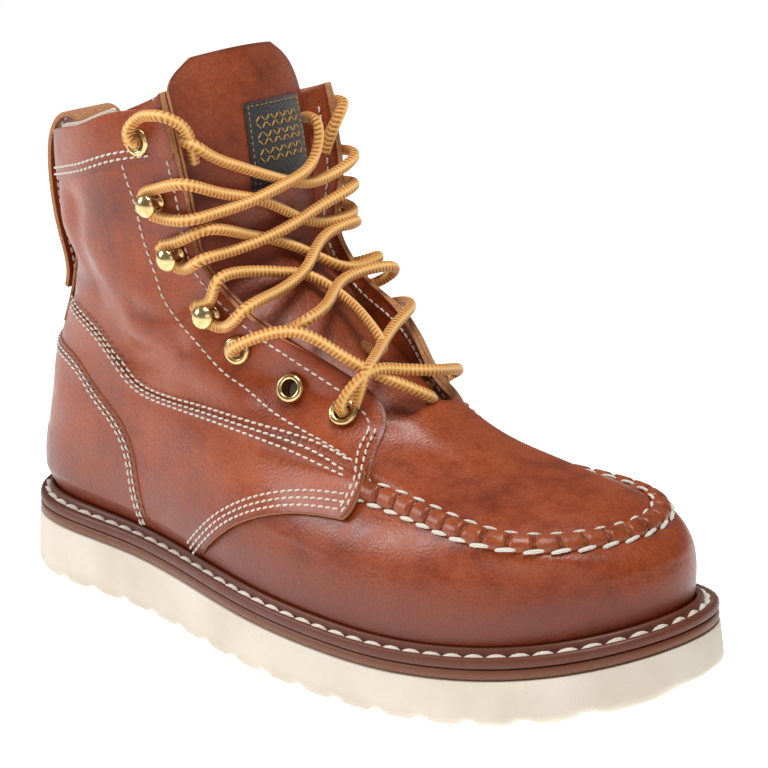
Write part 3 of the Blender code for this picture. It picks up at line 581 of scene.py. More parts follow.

# %% [markdown]
# ## Leather
# Oil-tanned leather has a fine pore, a looser grain where it flexes, and a tone that drifts as oil gathers
# or is pulled out of it. Its cut edges are darker, partly as burnish and partly as painted shade, and
# painted shade darkens it low down, above the welt. The finish mixes noises for tone and cells for grain,
# and reads how far each point is from the edge of its piece.

# %% Leather finish
def leather_finish(name, dark, middle, pale, grain, grain_depth, roughness):
    """Tone from two noises, grain from cells, burnish and painted shade by edge distance, painted shade low
    down.
    """
    material = new_material(name, roughness, Specular_IOR_Level=0.38, Coat_Weight=0.14, Coat_Roughness=0.26)
    place = add_node(material, "ShaderNodeTexCoord").outputs["Object"]
    drift = noise(material, place, 34, 4, 0.55)
    mottle = noise(material, place, 7, 4, 0.6)
    pores = noise(material, place, 0.55, 2)
    pebbles = cells(material, place, grain)
    creased = cells(material, place, grain * 2.6, "SMOOTH_F1")
    tone = maths(material, "ADD", maths(material, "MULTIPLY", drift, 0.65),
                 maths(material, "MULTIPLY", mottle, 0.35))
    colour = ramp(material, tone, [(0.3, dark), (0.5, middle), (0.72, pale)])
    valley = scaled(material, pebbles, 0.15, 0.75, 0.0, 0.34)
    colour = blend(material, valley, colour, dark)
    edge = add_node(material, "ShaderNodeAttribute", attribute_name="edge").outputs["Fac"]
    # Darker along each piece's cut edge: partly burnish, partly painted shade.
    colour = blend(material, scaled(material, edge, 0.2, 2.6, 0.55, 0.0), colour, dark)
    # Painted shade: the leather darkens towards the bottom, below 64 mm, most of all just above the welt.
    height = add_node(material, "ShaderNodeSeparateXYZ", {0: place}).outputs["Z"]
    colour = blend(material, scaled(material, height, 0.03, 0.064, 0.85, 0.0), colour, dark)
    relief = maths(material, "ADD", maths(material, "MULTIPLY", pebbles, -0.55),
                   maths(material, "MULTIPLY", creased, -0.3))
    relief = maths(material, "ADD", relief, maths(material, "MULTIPLY", pores, 0.25))
    gloss = scaled(material, mottle, 0.3, 0.7, roughness - 0.07, roughness + 0.1)
    to_shader(material, Base_Color=colour, Roughness=gloss, Normal=bump(material, relief, grain_depth))
    return material


# Oiled full-grain leather: red brown, satin, with a soft shine where it bends to the light.
leather = leather_finish("oiled_leather", "64240c", "984118", "ac5426", 1.1, 0.16, 0.36)
# Tumbled tongue leather: a coarser pebble and a duller face.
soft_leather = leather_finish("pebbled_tongue_leather", "5c2410", "8c3e1c", "9c4c28", 1.5, 0.34, 0.46)
print("leathers:", leather.name, soft_leather.name)

# %% [markdown]
# ## Other finishes
# The cut edge of leather is fibrous and paler than its face. The wedge is blown rubber, matt and faintly
# speckled. Thread, lining and label are woven, so a fine regular relief gives their soft look.

# %% Finishes
def fibre_finish(name, dark, pale, size, roughness=0.8):
    """Two tones of a streaky noise, for raw edges and flesh sides."""
    material = new_material(name, roughness)
    place = add_node(material, "ShaderNodeTexCoord").outputs["Object"]
    streaks = noise(material, place, size, 5, 0.7)
    colour = ramp(material, streaks, [(0.3, dark), (0.7, pale)])
    to_shader(material, Base_Color=colour, Normal=bump(material, streaks, 0.12))
    return material


def rubber_finish():
    """Blown rubber: nearly even tone, tiny speckle, darker towards the bottom of the wall."""
    material = new_material("cream_wedge_rubber", 0.62)
    place = add_node(material, "ShaderNodeTexCoord").outputs["Object"]
    speckle = noise(material, place, 0.8, 3)
    clouds = noise(material, place, 26, 4)
    colour = ramp(material, clouds, [(0.3, "cdc2b0"), (0.7, "dcd2c2")])
    height = add_node(material, "ShaderNodeSeparateXYZ", {0: place}).outputs["Z"]
    # Darker over the lowest 6 mm of the wall.
    colour = blend(material, scaled(material, height, 0.0, 0.006, 0.35, 0.0), colour, "a3927a")
    colour = blend(material, scaled(material, speckle, 0.6, 0.8, 0.0, 0.25), colour, "a89880")
    to_shader(material, Base_Color=colour, Normal=bump(material, speckle, 0.08))
    return material


def cloth_finish(name, dark, pale, size, roughness=0.85, sheen=0.3):
    """Woven cloth: two crossed waves give the threads' relief and tone."""
    material = new_material(name, roughness, Sheen_Weight=sheen, Sheen_Roughness=0.5)
    place = add_node(material, "ShaderNodeTexCoord").outputs["Object"]
    sockets = {"Vector": place, "Scale": 314.0 / size, "Distortion": 0.6, "Detail": 1.0}
    threads = [add_node(material, "ShaderNodeTexWave", sockets, bands_direction=way).outputs["Fac"]
               for way in ("X", "Z")]
    weave = maths(material, "MULTIPLY", threads[0], threads[1])
    colour = ramp(material, weave, [(0.0, dark), (0.6, pale)])
    to_shader(material, Base_Color=colour, Normal=bump(material, weave, 0.15))
    return material


# Cut edge and flesh side: pale tan fibres with no shine.
raw_edge = fibre_finish("raw_leather_edge", "8a5636", "c08a5c", 1.2)
# Welt strip: firm, finely grained leather, browner than the upper.
welt_leather = leather_finish("welt_leather", "5b2b1a", "8a4a2e", "a4623f", 0.9, 0.08, 0.5)
cream_rubber = rubber_finish()
# Canvas: off-white, its weave just to be made out.
lining_cloth = cloth_finish("lining_canvas", "c9bfae", "f1ebdf", 0.9)
# Waxed polyester thread: off-white, with a faint sheen.
thread = cloth_finish("waxed_thread", "cfc6b6", "f6f1e6", 0.5, 0.6, 0.1)
# Metallic yarn: dull gold. Its twist is drawn coarser than real, so that it shows.
gold_thread = cloth_finish("gold_thread", "8a6320", "d9ac52", 0.4, 0.45, 0.1)
# Damask label: nearly black and matt.
label_cloth = cloth_finish("black_label_weave", "0d0d10", "26262b", 0.5)
print("finishes:", len(bpy.data.materials))

# %% [markdown]
# ## Brass
# Eyelets and hooks are plated a pale gold. The metal keeps the shader's own index, and its look comes from
# sharp reflections with a little grain in the polish.

# %% Brass finish
brass = new_material("plated_brass", 0.2, Metallic=1.0)
brass_place = add_node(brass, "ShaderNodeTexCoord").outputs["Object"]
brass_tone = noise(brass, brass_place, 2.5, 3)
to_shader(brass, Base_Color=ramp(brass, brass_tone, [(0.3, "cfae74"), (0.7, "ead09a")]),
          Roughness=scaled(brass, noise(brass, brass_place, 0.6, 2), 0.3, 0.7, 0.16, 0.28))
print("brass ready")

# %% [markdown]
# ## Creases
# An unworn boot still folds softly where the shaft meets the foot. Each crease is a side-view line with a
# depth and a width, and the leather sinks by a bell curve of the distance to that line.

# %% Creases of the upper
CREASES = [
    # depth, width, side-view points
    (2.2, 7.0, [(-97, 150), (-99, 136), (-92, 122)]),
    (3.0, 6.5, [(-47, 106), (-60, 99), (-74, 97)]),
    (1.6, 5.0, [(-38, 122), (-52, 116), (-66, 117)]),
    (1.3, 8.0, [(-112, 128), (-96, 116), (-80, 110)]),
    (1.0, 6.0, [(-8, 96), (-24, 90), (-40, 90)]),
]


def near_line(x, z, line):
    """Smallest distance from each side-view point to the straight parts of a line."""
    best = np.full(np.shape(x), np.inf)
    for (x0, z0), (x1, z1) in zip(line, line[1:]):
        along = np.array([x1 - x0, z1 - z0])
        share = np.clip(((x - x0) * along[0] + (z - z0) * along[1]) / (along @ along), 0, 1)
        best = np.minimum(best, np.hypot(x - x0 - share * along[0], z - z0 - share * along[1]))
    return best


def crease_depth(around, row):
    """Sum of the bell curves, and a slow swell so that no panel is perfectly even."""
    point = last_surface(around, row)
    sink = 0.0
    for depth, width, line in CREASES:
        distance = near_line(point[..., 0], point[..., 2], smooth_line(line, 12))
        sink = sink + depth * np.exp(-(distance / width) ** 2)
    swell = 0.35 * np.sin(point[..., 0] / 13) * np.sin(point[..., 2] / 11 + point[..., 1] / 19)
    return np.where(np.asarray(row) > 1.5, swell - sink, 0.0)


sinks = crease_depth(np.linspace(0, 0.5, 200)[:, None], np.linspace(2, 12, 80))
print("deepest crease", round(float(-sinks.min()), 2), "mm")

# %% [markdown]
# ## Leather sheets
# Each sheet is its patch on the last, lifted by its layer, with the crease depth added. Its distance from
# the edge is kept for the finish. Near the feather line every layer comes back to the last, because there
# all of them are pulled in behind the welt.

# %% Sheet of leather
def edge_distance(points, edges):
    """Distance in millimetres to the nearest real edge, measured along the rows and the columns."""
    best = np.full(points.shape[:2], 50.0)
    for axis, (first, last) in ((0, ("bottom", "top")), (1, ("back", "front"))):
        steps = np.linalg.norm(np.diff(points, axis=axis), axis=-1)
        walked = np.concatenate([np.zeros_like(steps.take([0], axis)), np.cumsum(steps, axis)], axis)
        if first in edges:
            best = np.minimum(best, walked)
        if last in edges:
            best = np.minimum(best, walked.take([-1], axis) - walked)
    return best


def leather_sheet(name, track, lift, thickness, edges=("bottom", "top", "back", "front"), materials=None,
                  stands_for=(), extra=0.0, back_slot=1):
    """Sheet on the last: lift faded in above the feather line, plus creases and any extra relief."""
    around, row = track[..., 0], track[..., 1]
    fade = np.clip((row - 0.1) / 0.5, 0, 1)
    points = upper_point(around, row, lift * fade + crease_depth(around, row) + extra)
    piece = add_piece(name, points, grid_faces(*track.shape[:2]), materials or (leather, raw_edge),
                      stands_for, attributes={"edge": edge_distance(points, edges)})
    return thicken(piece, thickness, back_slot=back_slot)


print("a sheet's middle is", edge_distance(upper_point(*np.meshgrid([0.2, 0.25, 0.3], [6, 7, 8])),
                                           ("bottom", "back"))[1, 1].round(1), "mm from its edge")

# %% [markdown]
# ## Vamp and plug
# The front is one sheet here, from under the quarters round the toe. The plug on top and the vamp below
# meet at the moc seam, where the leather dips on both sides of the raised ridge.

# %% Vamp
VAMP_TOP = [(-48, 30), (-32, 40), (-14, 52), (5, 61), (20, 65), (33, 69), (34.5, 78), (30, 88)]
vamp_edge = np.concatenate([drawn(VAMP_TOP, 90), straight(on_side([(30, 88)])[0], (0.5, 7.05), 40)[1:]])
vamp_foot = np.stack([np.linspace(vamp_edge[0, 0] + 0.002, 0.5, 129), np.full(129, -0.25)], -1)
vamp_half = patch(vamp_foot, vamp_edge, straight(vamp_foot[0], vamp_edge[0], 64),
                  straight(vamp_foot[-1], vamp_edge[-1], 64))
vamp_track = round_toe(vamp_half)
seam_off = (vamp_track[..., 1] - SEAM_ROW) * 16
seam_reach = np.clip((0.5 - np.abs(vamp_track[..., 0] - 0.5) - 0.28) / 0.03, 0, 1)
dip = -1.1 * np.exp(-(seam_off / 7.0) ** 2) * seam_reach
leather_sheet("vamp_and_plug", vamp_track, 0.0, 2.2, ("top",), extra=dip, stands_for=("upper",))
print("vamp grid", vamp_track.shape[:2])

# %% [markdown]
# ## Quarters and shaft
# The shaft piece wraps the leg and ends at the two facings, which carry the eyelets. The lower quarter
# runs from the heel to the flex point under it, and its lower edge sweeps down to the welt.

# %% Shaft and lower quarter
def heel_start(line, height, count):
    """Drawn line with its first point moved on to the heel line."""
    return even(np.concatenate([[(0.0, on_side([(-120, height)])[0, 1])], drawn(line, count)]), count)


def shaft_half(side):
    """Half of the shaft: its lower edge, its rim, and the front edge up the facing."""
    low_front = drawn([(42.5, 67.5), (42.4, 76.7), (38.9, 82), (36.8, 86.9)], 40)
    front = even(np.concatenate([low_front, drawn(FACINGS[side], 160)[1:]]), 96)
    low, rim = heel_start(SHAFT_LOW, 99.5, 110), heel_start(RIMS[side], 171, 110)
    return patch(low, rim, straight(low[0], rim[0], 96), front)


shaft_track = round_heel(shaft_half("outer"), shaft_half("inner"))
shaft = leather_sheet("shaft", shaft_track, 1.4, 1.9, ("bottom", "back", "front"))

quarter_bottom = even(np.concatenate([straight((0.0, -0.25), (on_side([(-42, 24)])[0, 0], -0.25), 80),
                                      drawn(QUARTER_LOW, 120)]), 130)
QUARTER_TOP = [(-118.5, 107), (-91.9, 98.5), (-75.5, 87), (-54.6, 83.5), (-27.1, 83), (-2, 81), (20.6, 78),
               (42.3, 75)]
quarter_upper = even(np.concatenate([[(0.0, on_side([(-120, 106)])[0, 1])], drawn(QUARTER_TOP, 129)]), 130)
quarter_front = drawn([(40.1, 60.4), (41.9, 62.5), (42.5, 68), (42.3, 75)], 44)
quarter_half = patch(quarter_bottom, quarter_upper, straight(quarter_bottom[0], quarter_upper[0], 44),
                     quarter_front)
leather_sheet("quarter_low", round_heel(quarter_half), 2.4, 1.6, ("bottom", "top", "back", "front"))
print("shaft and quarter grids", shaft_track.shape[:2], quarter_half.shape[:2])

# %% [markdown]
# ## Counter, collar band and back strip
# The counter stiffens the heel and lies over the quarter. The collar band is a soft padded strip under the
# rim, so its middle swells. A narrow strip covers the seam up the back.

# %% Counter, band and strip
counter_top = even(np.concatenate([[(0.0, on_side([(-133.5, 92)])[0, 1])], drawn(COUNTER_TOP, 99)]), 100)
counter_low = np.stack([np.linspace(0.0, counter_top[-1, 0], 100), np.full(100, -0.25)], -1)
counter_half = patch(counter_low, counter_top, straight(counter_low[0], counter_top[0], 50),
                     straight(counter_low[-1], counter_top[-1], 50))
leather_sheet("heel_counter", round_heel(counter_half), 2.9, 1.5, ("top",))


def band_half(side):
    """Half of the collar band, from its sewn lower edge to the rim."""
    low, rim = heel_start(BAND_LOW, 152, 90), heel_start(RIMS[side], 171, 90)
    edge = drawn(FACINGS[side][-3:], 60)
    front = even(np.concatenate([low[-1:], edge[edge[:, 1] > low[-1, 1] + 0.08]]), 26)
    return patch(low, rim, straight(low[0], rim[0], 26), front)


band_swell = 0.5 * np.sin(np.linspace(0, np.pi, 26))[:, None] * np.ones(179)
band = leather_sheet("collar_band", round_heel(band_half("outer"), band_half("inner")), 2.0, 1.7,
                     ("bottom", "back", "front"), extra=band_swell)

strip_rows = np.linspace(on_side([(-131, 98)])[0, 1], 12.05, 60)
strip_half = np.stack(np.broadcast_arrays(np.linspace(0, 0.062, 12)[None, :], strip_rows[:, None]), -1)
leather_sheet("back_strip", round_heel(strip_half), 3.0, 1.2, ("back", "front", "bottom"))
print("counter, band and strip made")

# %% [markdown]
# ## Lining and facings
# The shaft is lined with pale canvas, which shows at the far collar. Behind each row of eyelets a second
# ply of leather, cut a millimetre proud, doubles the facing.

# %% Lining and facings
EYESTAY_BACK = [(20, 80), (8, 86), (-23.6, 98.3), (-54.3, 118), (-58.2, 145.2), (-62, 168), (-64, 182)]


def lining_half(side):
    """Half of the lining, a little higher than the rim, ending under the eyelet stay."""
    rim = heel_start([(x, z + 1.4) for x, z in RIMS[side][:-2]], 172.4, 90)
    low = straight((0.0, 0.2), (0.43, 0.2), 90)
    stay = drawn(EYESTAY_BACK, 60)
    front = even(np.concatenate([straight(low[-1], stay[0], 30), stay[1:], rim[-1:]]), 80)
    return patch(low, rim, straight(low[0], rim[0], 80), front)


leather_sheet("shaft_lining", round_heel(lining_half("outer"), lining_half("inner")), -1.2, 0.9, (),
              (lining_cloth,))

toe_lining_grid = np.meshgrid(np.linspace(0.25, 0.75, 120), np.linspace(0.1, 6.0, 40))
leather_sheet("toe_lining", np.stack(toe_lining_grid, -1), -2.7, 0.6, (), (lining_cloth,))


def facing_ply(side):
    """Second ply: ruled from behind the eyelets to a little past the facing's edge."""
    edge = even(drawn(FACINGS[side], 160), 90)
    back_line = [(20, 82), (-4.7, 90), (-23.6, 99), (-48.8, 119), (-58.2, 145), (-60, 168),
                 (-62, FACINGS[side][-1][1] - 8)]
    behind = even(drawn(back_line, 160), 90)
    track = np.stack([behind * (1 - share) + edge * share for share in np.linspace(0, 1.03, 16)], 1)
    track = track if side == "outer" else mirrored(track)[:, ::-1]
    return leather_sheet(f"facing_ply_{side}", track, -0.6, 1.3, ("back", "front"), back_slot=0)


facing_outer, facing_inner = facing_ply("outer"), facing_ply("inner")
print("lining and facings made")

# %% [markdown]
# ## Moc seam
# The plug is gathered to the vamp over a raised welt of leather. The gathers show as a row of blocks with
# clefts between them, darkened by painted shade. The ridge is a profile run along the seam, lower and
# narrower at each cleft.

# %% Moc seam ridge
PLEAT = 8.3
RIDGE_HALF, RIDGE_RISE = 3.7, 3.6


def ridge_points(first, last, steps, sides):
    """Half ellipse along the seam row: its rise and width shrink by a bell curve at every pleat's cleft."""
    track = even(straight((first, SEAM_ROW), (last, SEAM_ROW), 600), steps)
    centre = upper_point(track[:, 0], track[:, 1])
    reach = reach_along(centre)
    ahead = unit(np.gradient(centre, axis=0))
    out = surface_normal(track[:, 0], track[:, 1])
    across = np.cross(out, ahead)
    cleft = np.abs((reach / PLEAT + 0.5) % 1.0 - 0.5) * PLEAT
    pinch = np.exp(-(cleft / 0.85) ** 2)
    ends = np.clip(np.minimum(reach, reach[-1] - reach) / 9.0, 0, 1)
    angle = np.linspace(0, np.pi, sides)
    rise = RIDGE_RISE * (1 - 0.42 * pinch) * (0.35 + 0.65 * ends)
    half = RIDGE_HALF * (1 - 0.16 * pinch)
    flat_top = np.sin(angle) ** 0.7
    points = (centre[:, None] + across[:, None] * (half[:, None] * -np.cos(angle))[..., None]
              + out[:, None] * (rise[:, None] * flat_top - 1.3)[..., None])
    return points, np.broadcast_to(pinch[:, None], points.shape[:2]), reach


def closed_tube(points):
    """Faces of a run of rings, with a fan at each end."""
    rings, sides = points.shape[:2]
    faces = grid_faces(rings, sides, True)[:, ::-1].tolist()
    faces.append(list(range(sides)))
    faces.append([(rings - 1) * sides + i for i in range(sides)][::-1])
    return faces


ridge, ridge_pinch, ridge_reach = ridge_points(0.285, 0.715, 900, 18)
# Gathered leather: stretched smooth over each block; painted shade makes the clefts nearly black.
ridge_leather = leather_finish("gathered_leather", "4a1c0b", "9c4820", "ae5a2e", 1.1, 0.14, 0.36)
# The edge value falls to 0 at each cleft, so the finish paints shade into the clefts.
add_piece("moc_seam_ridge", ridge, closed_tube(ridge), (ridge_leather,),
          attributes={"edge": np.clip((1 - ridge_pinch) * 6, 0, 6)})
print("seam is", round(ridge_reach[-1]), "mm with", int(ridge_reach[-1] / PLEAT), "pleats")

# %% [markdown]
# ## Stitches
# A stitch is one short length of thread that dives into the leather at both ends. One small capsule is
# shaped once, and whole rows are made by giving every copy its own place and three directions.

# %% Stitch shapes
STITCH_RINGS, STITCH_SIDES = 5, 6


def capsules(centre, along, out, length, thick, dive=0.35):
    """Points of capsules: an ellipse's ring sizes along each stitch, sunk with the square of the distance."""
    s = np.sin(np.linspace(-1, 1, STITCH_RINGS + 2)[1:-1] * np.pi / 2 * 0.93)
    turn = np.arange(STITCH_SIDES) / STITCH_SIDES * 2 * np.pi
    size = thick * (1 - np.abs(s) ** 4) ** 0.5
    ring = np.stack([np.broadcast_to(s[:, None] * length / 2, (STITCH_RINGS, STITCH_SIDES)),
                     size[:, None] * np.cos(turn), size[:, None] * np.sin(turn) - dive * s[:, None] ** 2], -1)
    tips = [[-length / 2, 0, -dive * 1.2], [length / 2, 0, -dive * 1.2]]
    shape = np.concatenate([ring.reshape(-1, 3), tips])
    side = np.cross(out, along)
    return (centre[:, None] + shape[None, :, :1] * along[:, None] + shape[None, :, 1:2] * side[:, None]
            + shape[None, :, 2:] * out[:, None])


def capsule_faces(count):
    """Faces of that many capsules: quads between rings, triangles to the tips."""
    quads = grid_faces(STITCH_RINGS, STITCH_SIDES, True)
    near = np.arange(STITCH_SIDES)
    far = near + (STITCH_RINGS - 1) * STITCH_SIDES
    tip = STITCH_RINGS * STITCH_SIDES
    first = np.stack([np.full(STITCH_SIDES, tip), (near + 1) % STITCH_SIDES, near], -1)
    last = np.stack([np.full(STITCH_SIDES, tip + 1), far, np.roll(far, -1)], -1)
    shift = (np.arange(count) * (tip + 2))[:, None, None]
    tips = np.concatenate([first, last])
    return (quads + shift).reshape(-1, 4).tolist() + (tips + shift).reshape(-1, 3).tolist()


print("capsule has", len(capsule_faces(1)), "faces")

# %% [markdown]
# ## Rows of stitches
# A row follows a track on the leather, sinks with its creases and keeps its pitch. All rows of one seam go
# into one piece.

# %% Rows of stitches
def stitch_line(track, pitch, length, thick, lift, slant):
    """Capsules along a track on the last, turned by the slant from the line's own direction."""
    fine = even(track, 600)
    reach = reach_along(upper_point(fine[:, 0], fine[:, 1], lift))
    at = (np.arange(int(reach[-1] / pitch)) + 0.5) * pitch
    places = np.stack([np.interp(at, reach, fine[:, k]) for k in (0, 1)])
    later = np.stack([np.interp(at + 0.4, reach, fine[:, k]) for k in (0, 1)])
    high = lift + crease_depth(*places)
    centre = upper_point(*places, high)
    out = surface_normal(*places)
    ahead = unit(upper_point(*later, high) - centre)
    turned = ahead * math.cos(slant) + np.cross(out, ahead) * math.sin(slant)
    return capsules(centre, turned, out, length, thick)


def stitched(name, lines, material=None):
    """One piece of all these rows of stitches."""
    points = np.concatenate([line.reshape(-1, 3) for line in lines])
    count = len(points) // (STITCH_RINGS * STITCH_SIDES + 2)
    add_piece(name, points, capsule_faces(count), (material or thread,))
    return count


print("points of a stitch:", STITCH_RINGS * STITCH_SIDES + 2)

# %% [markdown]
# ## Seams of the upper
# The pale thread is what draws the pattern of the boot. The load-bearing seams have three rows, the edges
# of counter and collar two, and each facing one row at its edge and one further back.

# %% Lines of the seams
STITCH_PITCH, STITCH_THICK, STITCH_SLANT = 3.2, 0.42, 0.12
STITCH_LENGTH = 0.78 * STITCH_PITCH
ON_SHAFT, ON_QUARTER, ON_BAND, ON_COUNTER, UNDER_FACING = 1.55, 2.55, 2.75, 3.35, -2.15
TRIPLE = [(-118.5, 105.6), (-91.9, 96.9), (-75.5, 85.1), (-54.6, 81.7), (-27.1, 81.1), (-2, 79.1),
          (20.6, 76.1), (34.9, 72.7)]
EYESTAY = [(-65, 187.3), (-63, 168.1), (-59.7, 156.8), (-58.2, 145.2), (-54.3, 131.1), (-48.8, 118.2),
           (-37.8, 109.1), (-23.6, 98.3), (-18.3, 95.9), (-4.7, 89.4), (12.4, 83.5), (29.8, 78.9),
           (36.7, 76.9)]
COLLAR_ROWS = [(-121, 156.5), (-100.7, 162), (-81.6, 167.3), (-69.8, 171.3), (-59.2, 173.8), (-48.1, 175.6)]
COUNTER_ROWS = [(-134, 89.8), (-129.4, 89.1), (-109.2, 85.3), (-99.6, 78.6), (-85.0, 69.8), (-76.3, 59.4),
                (-72.0, 41.5), (-68.4, 32)]
print("triple seam is", round(reach_along(smooth_line(TRIPLE, 60))[-1]), "mm long")

# %% [markdown]
# ## Stitching the upper
# Each seam's neighbours run beside it at a fixed distance in the side view, and the inner side mirrors the
# outer one. The facings' rows end at each side's own rim.

# %% Stitches of the upper
def shifted(line, across):
    """Side-view line moved sideways, square to its own direction."""
    points = smooth_line(line, 60)
    ahead = unit(np.gradient(points, axis=0))
    return points + np.stack([-ahead[:, 1], ahead[:, 0]], -1) * across


def both_sides(line, shifts, lift, inner_line=None):
    """The row and its neighbours on the outer side, and mirrored on the inner side, or its own line there."""
    rows = []
    for across in shifts:
        outer, inner = (drawn(shifted(one, across), 200) for one in (line, inner_line or line))
        rows += [stitch_line(one, STITCH_PITCH, STITCH_LENGTH, STITCH_THICK, lift, STITCH_SLANT)
                 for one in (outer, mirrored(inner))]
    return rows


count = stitched("quarter_stitching", both_sides(TRIPLE, (0.0, 2.1, 4.2), ON_QUARTER)
                 + both_sides(QUARTER_LOW, (2.4, 4.6, 6.8), ON_QUARTER)
                 + both_sides(QUARTER_FRONT, (2.2, 4.2), ON_QUARTER))
count += stitched("facing_stitching", both_sides(FACING_EDGE, (4.4,), ON_SHAFT, FACINGS["inner"])
                  + both_sides(EYESTAY, (0.0,), ON_SHAFT, [(-64.2, 180.5)] + EYESTAY[1:]))
count += stitched("facing_inside_stitching", both_sides(FACING_EDGE[:-1], (4.4,), UNDER_FACING)
                  + both_sides(EYESTAY[1:], (-3.0,), UNDER_FACING))
count += stitched("collar_stitching", both_sides(COLLAR_ROWS, (0.0, 2.4), ON_BAND))
count += stitched("counter_stitching", both_sides(COUNTER_ROWS, (0.0, -2.2), ON_COUNTER))
print(count, "stitches on the upper")

# %% [markdown]
# ## Stitches of the moc seam
# One long pale stitch for each gather lies along the foot of the ridge, on the vamp's side, and a row of
# slightly shorter ones along the plug's side.

# %% Moc stitches
def seam_stitches(side_shift, lift, length, thick, lean):
    """Capsules along the seam, one for each pleat, at a distance down or up from the ridge."""
    track = even(straight((0.30, SEAM_ROW), (0.70, SEAM_ROW), 600), 900)
    centre = upper_point(track[:, 0], track[:, 1])
    reach = reach_along(centre)
    at = (np.arange(int(reach[-1] / PLEAT)) + 0.5) * PLEAT
    around = np.interp(at, reach, track[:, 0])
    middle = upper_point(around, SEAM_ROW)
    ahead = unit(upper_point(around + 0.001, SEAM_ROW) - middle)
    out = surface_normal(around, SEAM_ROW)
    across = np.cross(out, ahead)
    place = middle + across * side_shift + out * lift
    outward = unit(out + across * lean)
    way = unit(ahead + np.cross(outward, ahead) * 0.14)
    return capsules(place, way, outward, length, thick, 0.5)


count = stitched("moc_stitching", [seam_stitches(-4.0, 0.25, 7.4, 0.75, -0.5),
                                   seam_stitches(3.7, 0.35, 6.2, 0.6, 0.5)])
print(count, "stitches on the moc seam")

# %% [markdown]
# ## Tongue
# The tongue is a thick soft strip, bowed round the leg, that stands above the collar. Its middle line and
# widths are a table, and its edges curl back with the square of the distance from the middle.

# %% Tongue
TONGUE_ROWS = np.array([
    # x, z, half width, how far the edges curl back, lean to the inner side
    (58, 79.4, 11, 1.5, 0), (49, 83.2, 12.5, 2.2, 0), (40, 87.0, 14.5, 3.4, 0), (29, 93.4, 17, 4.8, 0),
    (11, 104.6, 22, 7.5, 0), (-5.8, 116.5, 26, 9.5, 0), (-15.5, 125, 28, 10.5, 0), (-24.3, 133.2, 29, 11, 0),
    (-28.7, 142, 30, 11, 0), (-29.8, 153, 31, 11, -0.5), (-31.4, 168.5, 32, 10.5, -1.2),
    (-34.8, 183, 33, 10, -2), (-38.2, 195.5, 32.5, 9.5, -2.5), (-41.2, 204, 29, 8, -3),
    (-43.2, 209, 20, 4, -3.5)], float)
TONGUE_THICK = 3.0


def tongue_point(row, across, lift=0.0):
    """Middle line, moved across, back by the curl, and out by the lift square to the curved face."""
    knots = np.arange(len(TONGUE_ROWS))
    columns = spline(knots, TONGUE_ROWS, row)
    along = unit((spline(knots, TONGUE_ROWS, row + 0.02) - spline(knots, TONGUE_ROWS, row - 0.02))[..., :2])
    share = across / columns[..., 2]
    back = columns[..., 3] * share ** 2
    slope = 2 * columns[..., 3] * share / columns[..., 2]
    flat = 1 / np.sqrt(1 + slope ** 2)
    out = lift * flat - back
    aside = SIDE + columns[..., 4] + across + lift * slope * flat
    return np.stack([columns[..., 0] + along[..., 1] * out, aside, columns[..., 1] - along[..., 0] * out], -1)


tongue_rows = np.linspace(0, len(TONGUE_ROWS) - 1, 110)
tongue_width = spline(np.arange(len(TONGUE_ROWS)), TONGUE_ROWS[:, 2], tongue_rows)
tongue_share = np.sin(np.linspace(-1, 1, 45) * np.pi / 2)
tongue_across = tongue_share[None, :] * tongue_width[:, None]
ripple = 0.35 * np.sin(tongue_rows * 4.1)[:, None] * np.cos(tongue_across / 9) * (tongue_rows[:, None] < 9)
tongue_grid_rows = np.broadcast_to(tongue_rows[:, None], tongue_across.shape)
tongue_points = tongue_point(tongue_grid_rows, tongue_across, ripple)
tongue = add_piece("padded_tongue", tongue_points, grid_faces(110, 45), (soft_leather, raw_edge),
                   ("tongue",), attributes={"edge": edge_distance(tongue_points, ("back", "front", "top"))})
thicken(tongue, TONGUE_THICK, 0.9)
print("tongue is", round(float(np.ptp(tongue_points[..., 2]))), "mm tall")

# %% [markdown]
# ## Label
# A woven label is sewn to the tongue under the rim. It leans a little, and has a dashed border and three
# rows of small diamonds in gold.

# %% Label
LABEL_ROWS, LABEL_ACROSS, LABEL_LEAN = (9.45, 11.5), (-9.0, 24.0), 2.2


def on_label(rows, across, lift):
    """Point of the tongue, its distance across leaning with the row as the label does."""
    return tongue_point(rows, across + (rows - sum(LABEL_ROWS) / 2) * LABEL_LEAN, lift)


label_grid = np.meshgrid(np.linspace(*LABEL_ROWS, 30), np.linspace(*LABEL_ACROSS, 30), indexing="ij")
label_points = on_label(*label_grid, 0.8)
label = add_piece("woven_tongue_label", label_points, grid_faces(30, 30), (label_cloth,),
                  ("tongue_label",))
thicken(label, 0.5, 0.2)
print("label is", round(float(np.ptp(label_points[:, 0, 2]))), "mm high")

# %% [markdown]
# ## Gold thread
# The border and the diamonds are short stitches, each with its place on the label and its turn.

# %% Stitches of the label
def label_stitches(places, length, thick):
    """Capsules on the label from (row, across, turn) places."""
    rows, across, turn = np.array(places, float).T
    centre = on_label(rows, across, 0.95)
    up = unit(on_label(rows + 0.02, across, 0.95) - centre)
    sideways = unit(on_label(rows, across + 0.1, 0.95) - centre)
    out = np.cross(sideways, up)
    way = up * np.cos(turn)[:, None] + sideways * np.sin(turn)[:, None]
    return capsules(centre, way, out, length, thick, 0.1)


